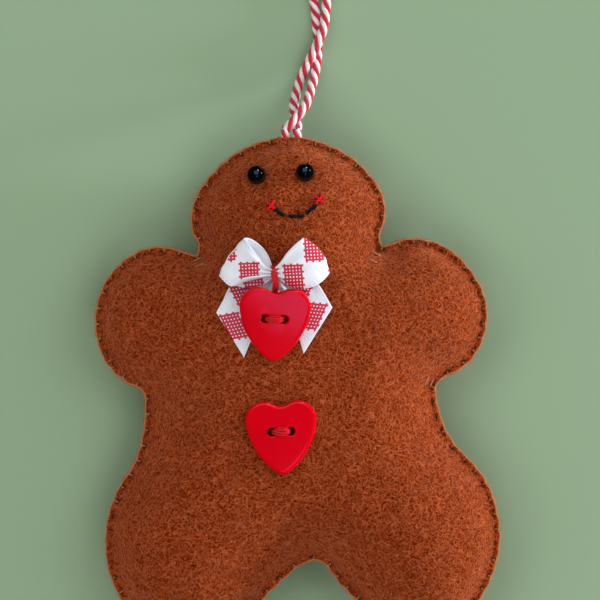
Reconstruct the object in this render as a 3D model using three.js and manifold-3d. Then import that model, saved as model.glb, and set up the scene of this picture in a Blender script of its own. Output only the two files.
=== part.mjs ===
// A stuffed felt gingerbread figure with a twine hanging loop, lying on its back.
// Millimetres: x to the right, y towards the head, z out of the front, z = 0 the surface it lies on.
// Features are placed from the middle of the face; the finished group is centred on its own footprint.
import * as THREE from "three";
import { mergeVertices } from "three/addons/utils/BufferGeometryUtils.js";
import Module from "manifold-3d";

const wasm = await Module();
wasm.setup();

// Felt body: two panels, flat and face to face at the seam, swollen by the filling inside it.
const FELT_THICKNESS = 1.5;
const SEAM_HEIGHT = 9;
const FLANGE_WIDTH = 1.8;
const FRONT_SWELL = 9.2;
const BACK_SWELL = 9.2;
const SWELL_REACH = 18.5;
const SWELL_ROUNDNESS = 0.8;
const PANEL_STEP = 6;
const PANEL_TURN = 32;

// Outline: tangent arcs, the same on both sides of x = 0.
const HEAD_HALF_WIDTH = 20.6;
const HEAD_CROWN_HEIGHT = 16.8;
const CHEEK_RADIUS = 12.6;
const NOTCH_RADIUS = 1.3;
const ARM_OFFSET = 27.2;
const ARM_DROP = 20.6;
const ARM_RADIUS = 14.5;
const ARMPIT_RADIUS = 2;
const WAIST_HALF_WIDTH = 30.9;
const HIP_RADIUS = 21;
const LEG_OFFSET = 17.6;
const LEG_DROP = 67.8;
const LEG_RADIUS = 24;
const FOOT_RADIUS = 13.7;
const INSEAM_DROP = 71.05;
const INSEAM_ANGLE = 45;
const CROTCH_RADIUS = 4.6;

// Clearances: around threads in their holes, and between pieces that lie on one another.
const THREAD_FIT = 0.25;
const KNOT_SIZE = 2.4;
const REST_GAP = 0.3;
const FILLING_GAP = 0.3;

// Blanket stitch round the edge.
const STITCH_PITCH = 3.4;
const STITCH_THREAD = 0.5;
const STITCH_LEG = 1.6;

// Twine of the hanging loop, swinging on a line through both of its roots.
const TWINE_DIAMETER = 2;
const TWINE_SEWN_DIAMETER = 1.7;
const TWINE_ROOT_LEFT = -0.4;
const TWINE_ROOT_RIGHT = 3;
const TWINE_STAND_OFF = 1.5;
const TWINE_KNOT_DIAMETER = 5;
const TWINE_KNOT_DEPTH = 12;

// Face.
const BEAD_DIAMETER = 4;
const BEAD_BORE = 1.1;
const BEAD_THREAD = 0.6;
const LEFT_EYE = [-6.2, 9.1];
const RIGHT_EYE = [4, 9.2];
const MOUTH_THREAD = 0.75;
const MOUTH_STITCHES = [
  [-2.55, 1.65, -1, 0.3],
  [0.3, 0.05, 3.1, -0.05],
  [4.05, 0.55, 6, 2.1],
];
const CHEEK_THREAD = 0.5;
const CHEEK_CROSS = 1.7;
const LEFT_CHEEK = [-4.2, 3.2];
const RIGHT_CHEEK = [7.4, 3.9];

// Heart buttons: two lobes, full sides and a rounded tip, measured from between the thread holes.
const BUTTON_WIDTH = 15;
const BUTTON_TOP = 6.4;
const BUTTON_TIP = 9.1;
const BUTTON_THICKNESS = 2.4;
const BUTTON_EDGE = 0.6;
const LOBE_RADIUS = 3.95;
const BUTTON_NOTCH = 1.2;
const BUTTON_SIDE_RADIUS = 17;
const BUTTON_TIP_RADIUS = 1.7;
const BUTTON_HOLE = 1.9;
const BUTTON_HOLE_SPACING = 3.9;
const BUTTON_THREAD = 0.9;
const UPPER_BUTTON = [-3.3, -21];
const UPPER_BUTTON_TURN = -9;
const UPPER_BUTTON_TILT = 10;
const UPPER_BUTTON_LIFT = 2.6;
const LOWER_BUTTON = [-3.45, -44.95];

// Bow of one ribbon, gathered in a waist and bound with thread.
const RIBBON_THICKNESS = 0.35;
const BOW_WAIST = [-3.3, -11.5];
const WAIST_WIDTH = 2;
const WAIST_HEIGHT = 2.3;
const WAIST_DEPTH = 2.1;
const WAIST_LIFT = 2.2;
const TIE_THREAD = 0.55;
const TIE_TURNS = 3;
const TIE_TOP = -9.95;
const TIE_BOTTOM = -15.3;

const FELT_BROWN = 0x7c3814;
const RED = 0xc4101c;
const BLACK = 0x101012;

const rad = THREE.MathUtils.degToRad;
const vec = (x, y, z) => new THREE.Vector3(x, y, z);

/** A closed geometry as a solid that can be added, cut and joined. */
function solid(geometry) {
  const bare = geometry.clone();
  bare.deleteAttribute("normal");
  bare.deleteAttribute("uv");
  const merged = mergeVertices(bare, 1e-4);
  return new wasm.Manifold(
    new wasm.Mesh({
      numProp: 3,
      vertProperties: merged.attributes.position.array,
      triVerts: new Uint32Array(merged.index.array),
    }),
  );
}

/** A solid back as a geometry. */
function geometryOf(body) {
  const mesh = body.getMesh();
  return indexed(mesh.vertProperties, mesh.triVerts);
}

/** A geometry from flat arrays of coordinates and triangle corners. */
function indexed(positions, corners) {
  const geometry = new THREE.BufferGeometry();
  geometry.setAttribute("position", new THREE.Float32BufferAttribute(positions, 3));
  geometry.setIndex(Array.from(corners));
  geometry.computeVertexNormals();
  return geometry;
}

/** Joins solids into one body. */
const joined = (solids) => solids.reduce((sum, next) => sum.add(next));

/** A round tube along a smooth line through points. */
function tube(points, diameter, sides, step) {
  const line = new THREE.CatmullRomCurve3(points, false, "centripetal");
  const section = new THREE.Shape().absarc(0, 0, diameter / 2, 0, 2 * Math.PI, false);
  return new THREE.ExtrudeGeometry(section, {
    steps: Math.max(2, Math.round(line.getLength() / step)),
    curveSegments: sides / 2,
    extrudePath: line,
    bevelEnabled: false,
  });
}

/** A ball at a point. */
function ball(centre, diameter, sides) {
  const geometry = new THREE.SphereGeometry(diameter / 2, sides, sides / 2);
  return geometry.translate(centre.x, centre.y, centre.z);
}

/** A sewing thread with a knot on each end. */
function thread(points, diameter) {
  const ends = [points[0], points[points.length - 1]];
  const bodies = ends.map((end) => solid(ball(end, KNOT_SIZE * diameter, 6)));
  bodies.push(solid(tube(points, diameter, 6, 1.6 * diameter)));
  return joined(bodies);
}

/** The point at distances ra and rb from a and b, on the right of the way from a to b. */
function meeting(a, ra, b, rb) {
  const way = b.clone().sub(a);
  const gap = way.length();
  const along = (gap * gap + ra * ra - rb * rb) / (2 * gap);
  const across = Math.sqrt(ra * ra - along * along);
  way.divideScalar(gap);
  return a.clone().addScaledVector(way, along).add(new THREE.Vector2(way.y, -way.x).multiplyScalar(across));
}

/** The direction from one point to another. */
const bearing = (from, to) => Math.atan2(to.y - from.y, to.x - from.x);

/** The right half of the outline, from the crotch round the leg and arm up to the crown. */
function halfOutline() {
  const slope = rad(INSEAM_ANGLE);
  const down = new THREE.Vector2(Math.cos(slope), -Math.sin(slope));
  const inward = new THREE.Vector2(Math.sin(slope), Math.cos(slope));
  const apex = new THREE.Vector2(0, -INSEAM_DROP);
  const crotch = new THREE.Vector2(0, -INSEAM_DROP - CROTCH_RADIUS / Math.cos(slope));

  const leg = new THREE.Vector2(LEG_OFFSET, -LEG_DROP);
  const shift = FOOT_RADIUS - leg.clone().sub(apex).dot(inward);
  const reach = Math.sqrt((LEG_RADIUS - FOOT_RADIUS) ** 2 - shift ** 2);
  const foot = leg.clone().addScaledVector(inward, shift).addScaledVector(down, reach);

  const hip = new THREE.Vector2(WAIST_HALF_WIDTH + HIP_RADIUS, 0);
  hip.y = leg.y + Math.sqrt((LEG_RADIUS + HIP_RADIUS) ** 2 - (hip.x - leg.x) ** 2);

  const arm = new THREE.Vector2(ARM_OFFSET, -ARM_DROP);
  const armpit = new THREE.Vector2(WAIST_HALF_WIDTH + ARMPIT_RADIUS, 0);
  armpit.y = arm.y - Math.sqrt((ARM_RADIUS + ARMPIT_RADIUS) ** 2 - (armpit.x - arm.x) ** 2);

  const side = HEAD_HALF_WIDTH - CHEEK_RADIUS;
  const rise = HEAD_CROWN_HEIGHT - CHEEK_RADIUS;
  const cheek = new THREE.Vector2(side, 0);
  const crown = new THREE.Vector2(0, -(side ** 2 - rise ** 2) / (2 * rise));
  const notch = meeting(arm, ARM_RADIUS + NOTCH_RADIUS, cheek, CHEEK_RADIUS + NOTCH_RADIUS);

  const path = new THREE.Path();
  const arc = (centre, radius, from, to, hollow) =>
    path.absarc(centre.x, centre.y, radius, from, to, hollow);
  arc(crotch, CROTCH_RADIUS, Math.PI / 2, Math.PI / 2 - slope, true);
  arc(foot, FOOT_RADIUS, -Math.PI / 2 - slope, bearing(leg, foot), false);
  arc(leg, LEG_RADIUS, bearing(leg, foot), bearing(leg, hip), false);
  arc(hip, HIP_RADIUS, bearing(hip, leg), Math.PI, true);
  arc(armpit, ARMPIT_RADIUS, Math.PI, bearing(armpit, arm), true);
  arc(arm, ARM_RADIUS, bearing(arm, armpit), bearing(arm, notch), false);
  arc(notch, NOTCH_RADIUS, bearing(notch, arm), bearing(notch, cheek), true);
  arc(cheek, CHEEK_RADIUS, bearing(cheek, notch), bearing(crown, cheek), false);
  arc(crown, HEAD_CROWN_HEIGHT - crown.y, bearing(crown, cheek), Math.PI / 2, false);
  return path;
}

/** Places round the whole outline, each with its outward direction, from places along its half. */
function bothSides(half, places) {
  const right = places.map((t) => {
    const at = half.getPoint(t);
    const along = half.getTangent(t);
    return { x: at.x, y: at.y, nx: along.y, ny: -along.x };
  });
  const left = right.slice(1, -1).reverse();
  return [...right, ...left.map((s) => ({ ...s, x: -s.x, nx: -s.nx }))];
}

/** Evenly spaced places along a half, ends included. */
const even = (count) => Array.from({ length: count + 1 }, (_, i) => i / count);

/** Places along the half that follow each arc closely enough, a whole number of fours in all. */
function closePlaces(half) {
  const arcs = half.curves.filter((c) => c.getLength() > 0.01);
  const counts = arcs.map((c) => {
    const turn = c.isEllipseCurve ? c.getLength() / c.xRadius : 0;
    return Math.ceil(Math.max(c.getLength() / PANEL_STEP, turn / rad(PANEL_TURN)));
  });
  const longest = arcs.reduce((best, c, i) => (c.getLength() > arcs[best].getLength() ? i : best), 0);
  const total = counts.reduce((sum, n) => sum + n, 0);
  counts[longest] += (4 - (total % 4)) % 4;
  const whole = half.getLength();
  const places = [0];
  let done = 0;
  arcs.forEach((c, k) => {
    for (let j = 1; j <= counts[k]; j++) places.push((done + (c.getLength() * j) / counts[k]) / whole);
    done += c.getLength();
  });
  places[places.length - 1] = 1;
  return places;
}

const half = halfOutline();
const STITCHES = 2 * Math.round(half.getLength() / STITCH_PITCH);
const stitchStations = bothSides(half, even(STITCHES / 2));
const stations = bothSides(half, closePlaces(half));
const border = bothSides(half, even(360));
const borderStep = (2 * half.getLength()) / border.length;

/** How deep inside the figure a point lies, softened so that no ridges form between limbs. */
function softDepth(x, y) {
  let pull = 0;
  for (const b of border) pull += borderStep / Math.hypot(x - b.x, y - b.y) ** 3;
  return Math.sqrt(2 / pull);
}

/** Share of the full swell at a point, from nought at the flange to one in the middle. */
function swell(x, y) {
  const share = Math.min(1, Math.max(0, softDepth(x, y) - FLANGE_WIDTH) / SWELL_REACH);
  return (1 - (1 - share) ** 2) ** SWELL_ROUNDNESS;
}

/** One ring of panel points: every so many stations, set inwards and shrunk to the belly. */
function ring(inset, every, shrink = 1) {
  const belly = -LEG_DROP / 2;
  return stations
    .filter((_, i) => i % every === 0)
    .map((s) => {
      const x = (s.x - inset * s.nx) * shrink;
      const y = belly + (s.y - inset * s.ny - belly) * shrink;
      return { x, y, share: inset > FLANGE_WIDTH ? swell(x, y) : 0 };
    });
}

/** The solid between an upper and a lower height over rings that run inwards from an edge. */
function slab(rings, upper, lower) {
  const positions = [];
  const corners = [];
  const starts = [];
  for (const points of rings) {
    starts.push(positions.length / 3);
    for (const p of points) positions.push(p.x, p.y, upper(p), p.x, p.y, lower(p));
  }
  const both = (a, b, c) => corners.push(2 * a, 2 * b, 2 * c, 2 * a + 1, 2 * c + 1, 2 * b + 1);
  rings.forEach((outer, k) => {
    const inner = rings[k + 1];
    if (!inner) return;
    const o = starts[k] / 2;
    const n = starts[k + 1] / 2;
    const ratio = outer.length / inner.length;
    for (let i = 0; i < inner.length; i++) {
      const next = (i + 1) % inner.length;
      for (let j = 0; j < ratio; j++) {
        const here = i * ratio + j;
        both(o + here, o + ((here + 1) % outer.length), n + (2 * j < ratio ? i : next));
      }
      const turn = i * ratio + Math.ceil(ratio / 2);
      both(n + i, o + (turn % outer.length), n + next);
    }
  });
  const last = rings[rings.length - 1];
  const first = starts[rings.length - 1] / 2;
  for (let i = 1; i + 1 < last.length; i++) both(first, first + i, first + i + 1);
  const edge = rings[0].length;
  for (let i = 0; i < edge; i++) {
    const next = (i + 1) % edge;
    corners.push(2 * i, 2 * i + 1, 2 * next + 1, 2 * i, 2 * next + 1, 2 * next);
  }
  return indexed(positions, corners);
}

const deep = [
  ring(4.6, 2),
  ring(8.6, 2),
  ring(8.6, 2, 0.82),
  ring(8.6, 4, 0.58),
  ring(8.6, 8, 0.3),
];
const rim = [ring(0, 1), ring(FLANGE_WIDTH, 1)];
const frontLift = (p) => FRONT_SWELL * p.share;
const backDrop = (p) => Math.min(BACK_SWELL * p.share, SEAM_HEIGHT - FELT_THICKNESS);

const frontPanel = slab(
  [...rim, ...deep],
  (p) => SEAM_HEIGHT + FELT_THICKNESS + frontLift(p),
  (p) => SEAM_HEIGHT + frontLift(p),
);
const backPanel = slab(
  [...rim, ...deep],
  (p) => SEAM_HEIGHT - backDrop(p),
  (p) => SEAM_HEIGHT - FELT_THICKNESS - backDrop(p),
);

const wad = slab(
  deep,
  (p) => SEAM_HEIGHT + frontLift(p) - FILLING_GAP,
  (p) => SEAM_HEIGHT - backDrop(p) + FILLING_GAP,
);

const frontMesh = new THREE.Mesh(frontPanel);
const plumb = new THREE.Raycaster();

/** Height of the front felt's outer face. */
function feltTop(x, y) {
  plumb.set(vec(x, y, 100), vec(0, 0, -1));
  return plumb.intersectObject(frontMesh)[0].point.z;
}

/** Height of a thread run that lies just under the front felt. */
const underFelt = (x, y, depth) => feltTop(x, y) - FELT_THICKNESS - depth;

/** Blanket stitch: a thread along the edge with a leg over each face at every station. */
function blanketStitch() {
  const skipFrom = STITCHES / 2 - 1;
  const order = [];
  for (let i = STITCHES / 2 + 1; i < STITCHES + skipFrom; i++) order.push(stitchStations[i % STITCHES]);
  const near = REST_GAP;
  const far = REST_GAP + STITCH_THREAD;
  const low = STITCH_THREAD / 2;
  const lay = FELT_THICKNESS + REST_GAP;
  const profile = [
    [far, low],
    [near, low],
    [near, lay],
    [-STITCH_LEG, lay],
    [-STITCH_LEG, lay + STITCH_THREAD],
    [far, lay + STITCH_THREAD],
  ];
  const positions = [];
  const corners = [];
  const quad = (a, b, c, d) => corners.push(a, b, c, a, c, d);
  for (const s of order) {
    for (const sideways of [-1, 1]) {
      for (const sign of [1, -1]) {
        for (const [out, up] of profile) {
          const x = s.x + out * s.nx - (sideways * STITCH_THREAD * s.ny) / 2;
          const y = s.y + out * s.ny + (sideways * STITCH_THREAD * s.nx) / 2;
          positions.push(x, y, SEAM_HEIGHT + sign * up);
        }
      }
    }
  }
  const span = 24;
  order.forEach((_, k) => {
    const a = k * span;
    const b = a + 12;
    for (const [half, flip] of [
      [0, false],
      [6, true],
    ]) {
      const face = (p, q, r, s) => (flip ? quad(s, r, q, p) : quad(p, q, r, s));
      const [p, q] = [a + half, b + half];
      for (let j = 1; j < 6; j++) {
        const next = (j + 1) % 6;
        face(p + j, p + next, q + next, q + j);
      }
      face(p, p + 5, p + 2, p + 1);
      face(p + 5, p + 4, p + 3, p + 2);
      face(q + 1, q + 2, q + 5, q);
      face(q + 2, q + 3, q + 4, q + 5);
    }
    quad(a, a + 6, b + 6, b);
    quad(a + 1, b + 1, b + 7, a + 7);
    const run = [b, b + 1, b + 7, b + 6];
    const onward = run.map((v) => v + 12);
    if (k + 1 < order.length)
      for (let j = 0; j < 4; j++) {
        const next = (j + 1) % 4;
        quad(onward[j], onward[next], run[next], run[j]);
      }
  });
  const lastEnd = (order.length - 1) * span + 12;
  quad(0, 1, 7, 6);
  quad(lastEnd, lastEnd + 6, lastEnd + 7, lastEnd + 1);
  return indexed(positions, corners);
}

const ROOT_Y = HEAD_CROWN_HEIGHT + TWINE_STAND_OFF;

/** Route of the hanging loop from its left root round to its right root. */
const LOOP_ROUTE = [
  vec(TWINE_ROOT_LEFT, ROOT_Y, SEAM_HEIGHT),
  vec(0.9, 19.2, 9.1),
  vec(2.9, 21, 8.7),
  vec(4.3, 22.6, 7.7),
  vec(5.2, 24.4, 6.2),
  vec(6, 26.5, 4.3),
  vec(6.9, 29.4, 2.3),
  vec(7.6, 32.8, 1.15),
  vec(8, 36.3, 1),
  vec(7.9, 40, 1),
  vec(7.5, 45.4, 1),
  vec(6.1, 50.5, 1),
  vec(4.7, 55.5, 1),
  vec(4.3, 60.5, 1),
  vec(5.9, 65.4, 1),
  vec(9.3, 67.7, 1),
  vec(12.7, 65.7, 1),
  vec(14.1, 60.7, 1),
  vec(13.4, 55.5, 1),
  vec(11.9, 50.5, 1),
  vec(10.3, 45.3, 1.1),
  vec(9.4, 39.9, 2.1),
  vec(7.9, 36.3, 3.25),
  vec(5.8, 32.4, 2.2),
  vec(4, 29, 1.7),
  vec(2.8, 25.6, 3.4),
  vec(2.3, 23.6, 5),
  vec(2.4, 21.6, 6.4),
  vec(2.9, 19.6, 7.8),
  vec(TWINE_ROOT_RIGHT, ROOT_Y, SEAM_HEIGHT),
];

/** The twine outside the seam, with rounded ends that turn on the line of the roots. */
function hangingLoop() {
  const ends = [LOOP_ROUTE[0], LOOP_ROUTE[LOOP_ROUTE.length - 1]];
  const bodies = ends.map((end) => solid(ball(end, TWINE_DIAMETER, 8)));
  bodies.push(solid(tube(LOOP_ROUTE, TWINE_DIAMETER, 8, 1.25 * TWINE_DIAMETER)));
  return joined(bodies);
}

/** The twine ends sewn into the seam and knotted inside the head, or the room they need. */
function sewnTwine(fit) {
  const start = ROOT_Y - TWINE_DIAMETER / 2 - REST_GAP + fit;
  const middle = (TWINE_ROOT_LEFT + TWINE_ROOT_RIGHT) / 2;
  const knot = vec(middle, HEAD_CROWN_HEIGHT - TWINE_KNOT_DEPTH, SEAM_HEIGHT);
  const bodies = [solid(ball(knot, TWINE_KNOT_DIAMETER + 2 * fit, 10))];
  for (const x of [TWINE_ROOT_LEFT, TWINE_ROOT_RIGHT]) {
    const line = [
      vec(x, start, SEAM_HEIGHT),
      vec(x, HEAD_CROWN_HEIGHT - 4, SEAM_HEIGHT),
      vec((x + middle) / 2, HEAD_CROWN_HEIGHT - 8, SEAM_HEIGHT),
      knot,
    ];
    bodies.push(solid(tube(line, TWINE_SEWN_DIAMETER + 2 * fit, 8, 2 * TWINE_SEWN_DIAMETER)));
  }
  return joined(bodies);
}

/** Middle of an eye bead, resting on the felt. */
const beadCentre = ([x, y]) => vec(x, y, feltTop(x, y) + REST_GAP + BEAD_DIAMETER / 2);

/** A round bead with a bore across it. */
function bead(eye) {
  const centre = beadCentre(eye);
  const opening = Math.asin(BEAD_BORE / BEAD_DIAMETER);
  const profile = [];
  for (let i = 0; i <= 8; i++) {
    const angle = opening + ((Math.PI - 2 * opening) * i) / 8;
    profile.push(new THREE.Vector2(Math.sin(angle), Math.cos(angle)).multiplyScalar(BEAD_DIAMETER / 2));
  }
  profile.push(profile[0].clone());
  const geometry = new THREE.LatheGeometry(profile.reverse(), 16);
  return geometry.rotateZ(Math.PI / 2).translate(centre.x, centre.y, centre.z);
}

/** The thread that holds a bead, through its bore and down through the felt on both sides. */
function beadLine(eye) {
  const centre = beadCentre(eye);
  const reach = BEAD_DIAMETER / 2 + BEAD_THREAD / 2 + REST_GAP;
  const leg = (side) => {
    const x = centre.x + side * reach;
    const knotDepth = 1.2 * BEAD_THREAD + 2 * THREAD_FIT + 0.2;
    return [
      vec(x, centre.y, underFelt(x, centre.y, knotDepth)),
      vec(x, centre.y, feltTop(x, centre.y)),
      vec(x - side * 0.15, centre.y, centre.z - 0.45),
      vec(centre.x + (side * BEAD_DIAMETER) / 2.4, centre.y, centre.z),
    ];
  };
  return [...leg(-1), ...leg(1).reverse()];
}

/** A line of stitches that rise from the felt and dive back, linked by runs underneath. */
function stitchLine(stitches, diameter, arch) {
  const under = diameter / 2 + THREAD_FIT + 0.15;
  const points = [];
  stitches.forEach(([x0, y0, x1, y1], k) => {
    const lift = diameter / 2 + THREAD_FIT + 0.1 + arch[k];
    const mid = [(x0 + x1) / 2, (y0 + y1) / 2];
    const inset = (t) => [x0 + (x1 - x0) * t, y0 + (y1 - y0) * t];
    points.push(vec(x0, y0, underFelt(x0, y0, k ? under : under + diameter)));
    points.push(vec(x0, y0, feltTop(x0, y0) - 0.2));
    points.push(vec(...inset(0.14), feltTop(...inset(0.14)) + 0.8 * lift));
    points.push(vec(...mid, feltTop(...mid) + lift + 0.1));
    points.push(vec(...inset(0.86), feltTop(...inset(0.86)) + 0.8 * lift));
    points.push(vec(x1, y1, feltTop(x1, y1) - 0.2));
    const end = k + 1 === stitches.length;
    points.push(vec(x1, y1, underFelt(x1, y1, end ? under + diameter : under)));
  });
  return points;
}

/** Two crossing stitches, their knots on the outer side of the face. */
function crossLine([x, y]) {
  const r = CHEEK_CROSS / 2;
  const out = Math.sign(x) * r;
  const stitches = [
    [x + out, y + r, x - out, y - r],
    [x - out, y + r, x + out, y - r],
  ];
  return stitchLine(stitches, CHEEK_THREAD, [0, CHEEK_THREAD + 0.1]);
}

/** The heart's outline, from the notch round both lobes to the tip. */
function heartShape() {
  const lobe = new THREE.Vector2(BUTTON_WIDTH / 2 - LOBE_RADIUS, BUTTON_TOP - LOBE_RADIUS);
  const tip = new THREE.Vector2(0, BUTTON_TIP_RADIUS - BUTTON_TIP);
  const toNotch = Math.sqrt((LOBE_RADIUS + BUTTON_NOTCH) ** 2 - lobe.x ** 2);
  const notch = new THREE.Vector2(0, lobe.y + toNotch);
  const side = BUTTON_SIDE_RADIUS;
  const flank = meeting(lobe, side - LOBE_RADIUS, tip, side - BUTTON_TIP_RADIUS);
  const other = new THREE.Vector2(-lobe.x, lobe.y);
  const flipped = (angle) => Math.PI - angle;
  const shape = new THREE.Shape();
  const arc = (c, r, from, to, hollow) => shape.absarc(c.x, c.y, r, from, to, hollow);
  arc(other, LOBE_RADIUS, bearing(other, notch), flipped(bearing(flank, lobe)), false);
  arc({ x: -flank.x, y: flank.y }, side, flipped(bearing(flank, lobe)), flipped(bearing(flank, tip)), false);
  arc(tip, BUTTON_TIP_RADIUS, flipped(bearing(flank, tip)), bearing(flank, tip), false);
  arc(flank, side, bearing(flank, tip), bearing(flank, lobe), false);
  arc(lobe, LOBE_RADIUS, bearing(flank, lobe), bearing(lobe, notch), false);
  arc(notch, BUTTON_NOTCH, bearing(notch, lobe), bearing(notch, other), true);
  return shape;
}

/** A heart button with rounded edges and two thread holes, its back at z = 0. */
function button() {
  const body = solid(
    new THREE.ExtrudeGeometry(heartShape(), {
      depth: BUTTON_THICKNESS - 2 * BUTTON_EDGE,
      bevelThickness: BUTTON_EDGE,
      bevelSize: BUTTON_EDGE,
      bevelOffset: -BUTTON_EDGE,
      bevelSegments: 2,
      curveSegments: 4,
    }).translate(0, 0, BUTTON_EDGE),
  );
  const holes = [-1, 1].map((side) => {
    const drill = new THREE.CylinderGeometry(BUTTON_HOLE / 2, BUTTON_HOLE / 2, 3 * BUTTON_THICKNESS, 14);
    return solid(drill.rotateX(Math.PI / 2).translate((side * BUTTON_HOLE_SPACING) / 2, 0, 0));
  });
  return geometryOf(body.subtract(joined(holes)));
}

/** Where a button sits: turned about its own face, then tilted, then set on the felt. */
function buttonPlace([x, y], turn, tilt, lift) {
  const place = new THREE.Matrix4().makeTranslation(x, y, feltTop(x, y) + lift);
  place.multiply(new THREE.Matrix4().makeRotationX(rad(tilt)));
  return place.multiply(new THREE.Matrix4().makeRotationZ(rad(turn)));
}

/** The thread of a button, up through one hole, across the face and down the other. */
function buttonLine(place) {
  const apart = BUTTON_HOLE_SPACING / 2;
  const face = BUTTON_THICKNESS + BUTTON_THREAD / 2;
  const leg = (side) => {
    const foot = vec(side * apart, 0, 0).applyMatrix4(place);
    const knotDepth = 1.2 * BUTTON_THREAD + 2 * THREAD_FIT + 0.2;
    const drop = foot.z - underFelt(foot.x, foot.y, knotDepth);
    return [
      vec(side * apart, 0, -drop),
      vec(side * apart, 0, -drop / 2),
      vec(side * apart, 0, BUTTON_THICKNESS - 0.35),
      vec(side * (apart - 0.6), 0, face + 0.2),
    ];
  };
  const line = [...leg(-1), vec(0, 0, face + 0.35), ...leg(1).reverse()];
  return line.map((p) => p.applyMatrix4(place));
}

/** The needle holes of a thread: one through the felt wherever its line crosses the felt's middle. */
function holesOf({ line, diameter }) {
  const route = new THREE.CatmullRomCurve3(line, false, "centripetal").getSpacedPoints(600);
  const inside = (p) => p.z < feltTop(p.x, p.y) - FELT_THICKNESS / 2;
  const crossings = route.filter((p, i) => i && inside(p) !== inside(route[i - 1]));
  return crossings.map((p) => {
    const here = route.indexOf(p);
    const way = route[here].clone().sub(route[here - 1]).normalize();
    const radius = (diameter / 2 + THREAD_FIT) / Math.cos(Math.PI / 5);
    const needle = new THREE.CylinderGeometry(radius, radius, 4 * FELT_THICKNESS, 5);
    needle.applyQuaternion(new THREE.Quaternion().setFromUnitVectors(vec(0, 1, 0), way));
    return solid(needle.translate(p.x, p.y, p.z));
  });
}

/** The hollow in the filling that takes the runs and knots of a thread under the felt. */
function hollowOf({ line, diameter }) {
  const room = new THREE.Box3();
  const margin = (KNOT_SIZE * diameter) / 2 + THREAD_FIT;
  for (const p of line) if (p.z < feltTop(p.x, p.y) - FELT_THICKNESS) room.expandByPoint(p);
  const low = room.min.z - margin;
  room.expandByScalar(margin);
  const size = room.getSize(vec(0, 0, 0));
  const tall = size.z + 4 * FELT_THICKNESS;
  const box = new THREE.BoxGeometry(size.x, size.y, tall);
  const middle = room.getCenter(vec(0, 0, 0));
  return solid(box.translate(middle.x, middle.y, low + tall / 2));
}

const bowFloor = feltTop(...BOW_WAIST);

/** A flat ribbon between two edges, each a smooth line through its own points. */
function strip(edgeA, edgeB, steps) {
  const lines = [edgeA, edgeB].map((e) => new THREE.CatmullRomCurve3(e, false, "centripetal"));
  const positions = [];
  const corners = [];
  for (let i = 0; i <= steps; i++) {
    const t = i / steps;
    const [a, b] = lines.map((line) => line.getPoint(t));
    const along = lines[0].getTangent(t).add(lines[1].getTangent(t));
    const skin = b.clone().sub(a).cross(along).setLength(RIBBON_THICKNESS / 2);
    for (const p of [a.clone().add(skin), b.clone().add(skin), b.clone().sub(skin), a.clone().sub(skin)])
      positions.push(p.x, p.y, p.z);
    if (!i) continue;
    for (let j = 0; j < 4; j++) {
      const [p, q] = [4 * i - 4 + j, 4 * i - 4 + ((j + 1) % 4)];
      corners.push(p, q, q + 4, p, q + 4, p + 4);
    }
  }
  const end = 4 * steps;
  corners.push(0, 2, 1, 0, 3, 2, end, end + 1, end + 2, end, end + 2, end + 3);
  return solid(indexed(positions, corners));
}

/** Points of a ribbon edge, their heights measured from the felt under the bow. */
const above = (points) => points.map(([x, y, z]) => vec(x, y, bowFloor + z));

/** Points of a ribbon edge that lies on the felt once it has left the waist. */
const laid = (points) =>
  points.map(([x, y], k) => {
    const rest = feltTop(x, y) + REST_GAP + RIBBON_THICKNESS;
    return vec(x, y, k ? rest : bowFloor + WAIST_LIFT - 0.4);
  });

const LEFT_LOOP_TOP = above([
  [-3.7, -11, 2.9],
  [-5.6, -9.3, 3.5],
  [-7.5, -6.3, 3.7],
  [-8.9, -4.3, 3.3],
  [-9.2, -4, 2.6],
  [-8.8, -4.5, 1.9],
  [-6.6, -7.8, 1.9],
  [-3.7, -11, 2],
]);
const LEFT_LOOP_FOOT = above([
  [-3.7, -12, 2.9],
  [-6.2, -13, 4.1],
  [-9.8, -13.3, 4.3],
  [-13.9, -12, 3.4],
  [-15, -11.6, 2.6],
  [-14.2, -12.1, 1.9],
  [-8.8, -13, 1.8],
  [-3.7, -12, 2],
]);
const RIGHT_LOOP_TOP = above([
  [-2.9, -11, 2.9],
  [-1.3, -9.4, 3.5],
  [0.9, -6.5, 3.7],
  [2.7, -4.8, 3.3],
  [3, -4.5, 2.6],
  [2.5, -5, 1.9],
  [0.1, -8, 1.9],
  [-2.9, -11, 2],
]);
const RIGHT_LOOP_FOOT = above([
  [-2.9, -12, 2.9],
  [-0.6, -13.2, 4.1],
  [2.8, -13.7, 4.3],
  [7, -12.5, 3.4],
  [8.1, -12.1, 2.6],
  [7.3, -12.6, 1.9],
  [2, -13.3, 1.8],
  [-2.9, -12, 2],
]);
const LEFT_TAIL_OUTER = laid([
  [-3.7, -11.3],
  [-8.2, -12.3],
  [-12.4, -14],
  [-15.9, -19.3],
]);
const LEFT_TAIL_INNER = laid([
  [-3.7, -12],
  [-5.1, -16.2],
  [-6.9, -20.8],
  [-10.6, -29.2],
]);
const RIGHT_TAIL_OUTER = laid([
  [-2.9, -11.3],
  [1.4, -12.4],
  [5.5, -14.2],
  [8.5, -19.4],
]);
const RIGHT_TAIL_INNER = laid([
  [-2.9, -12],
  [-1.6, -16.2],
  [0.2, -21],
  [1.9, -28.8],
]);

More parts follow.
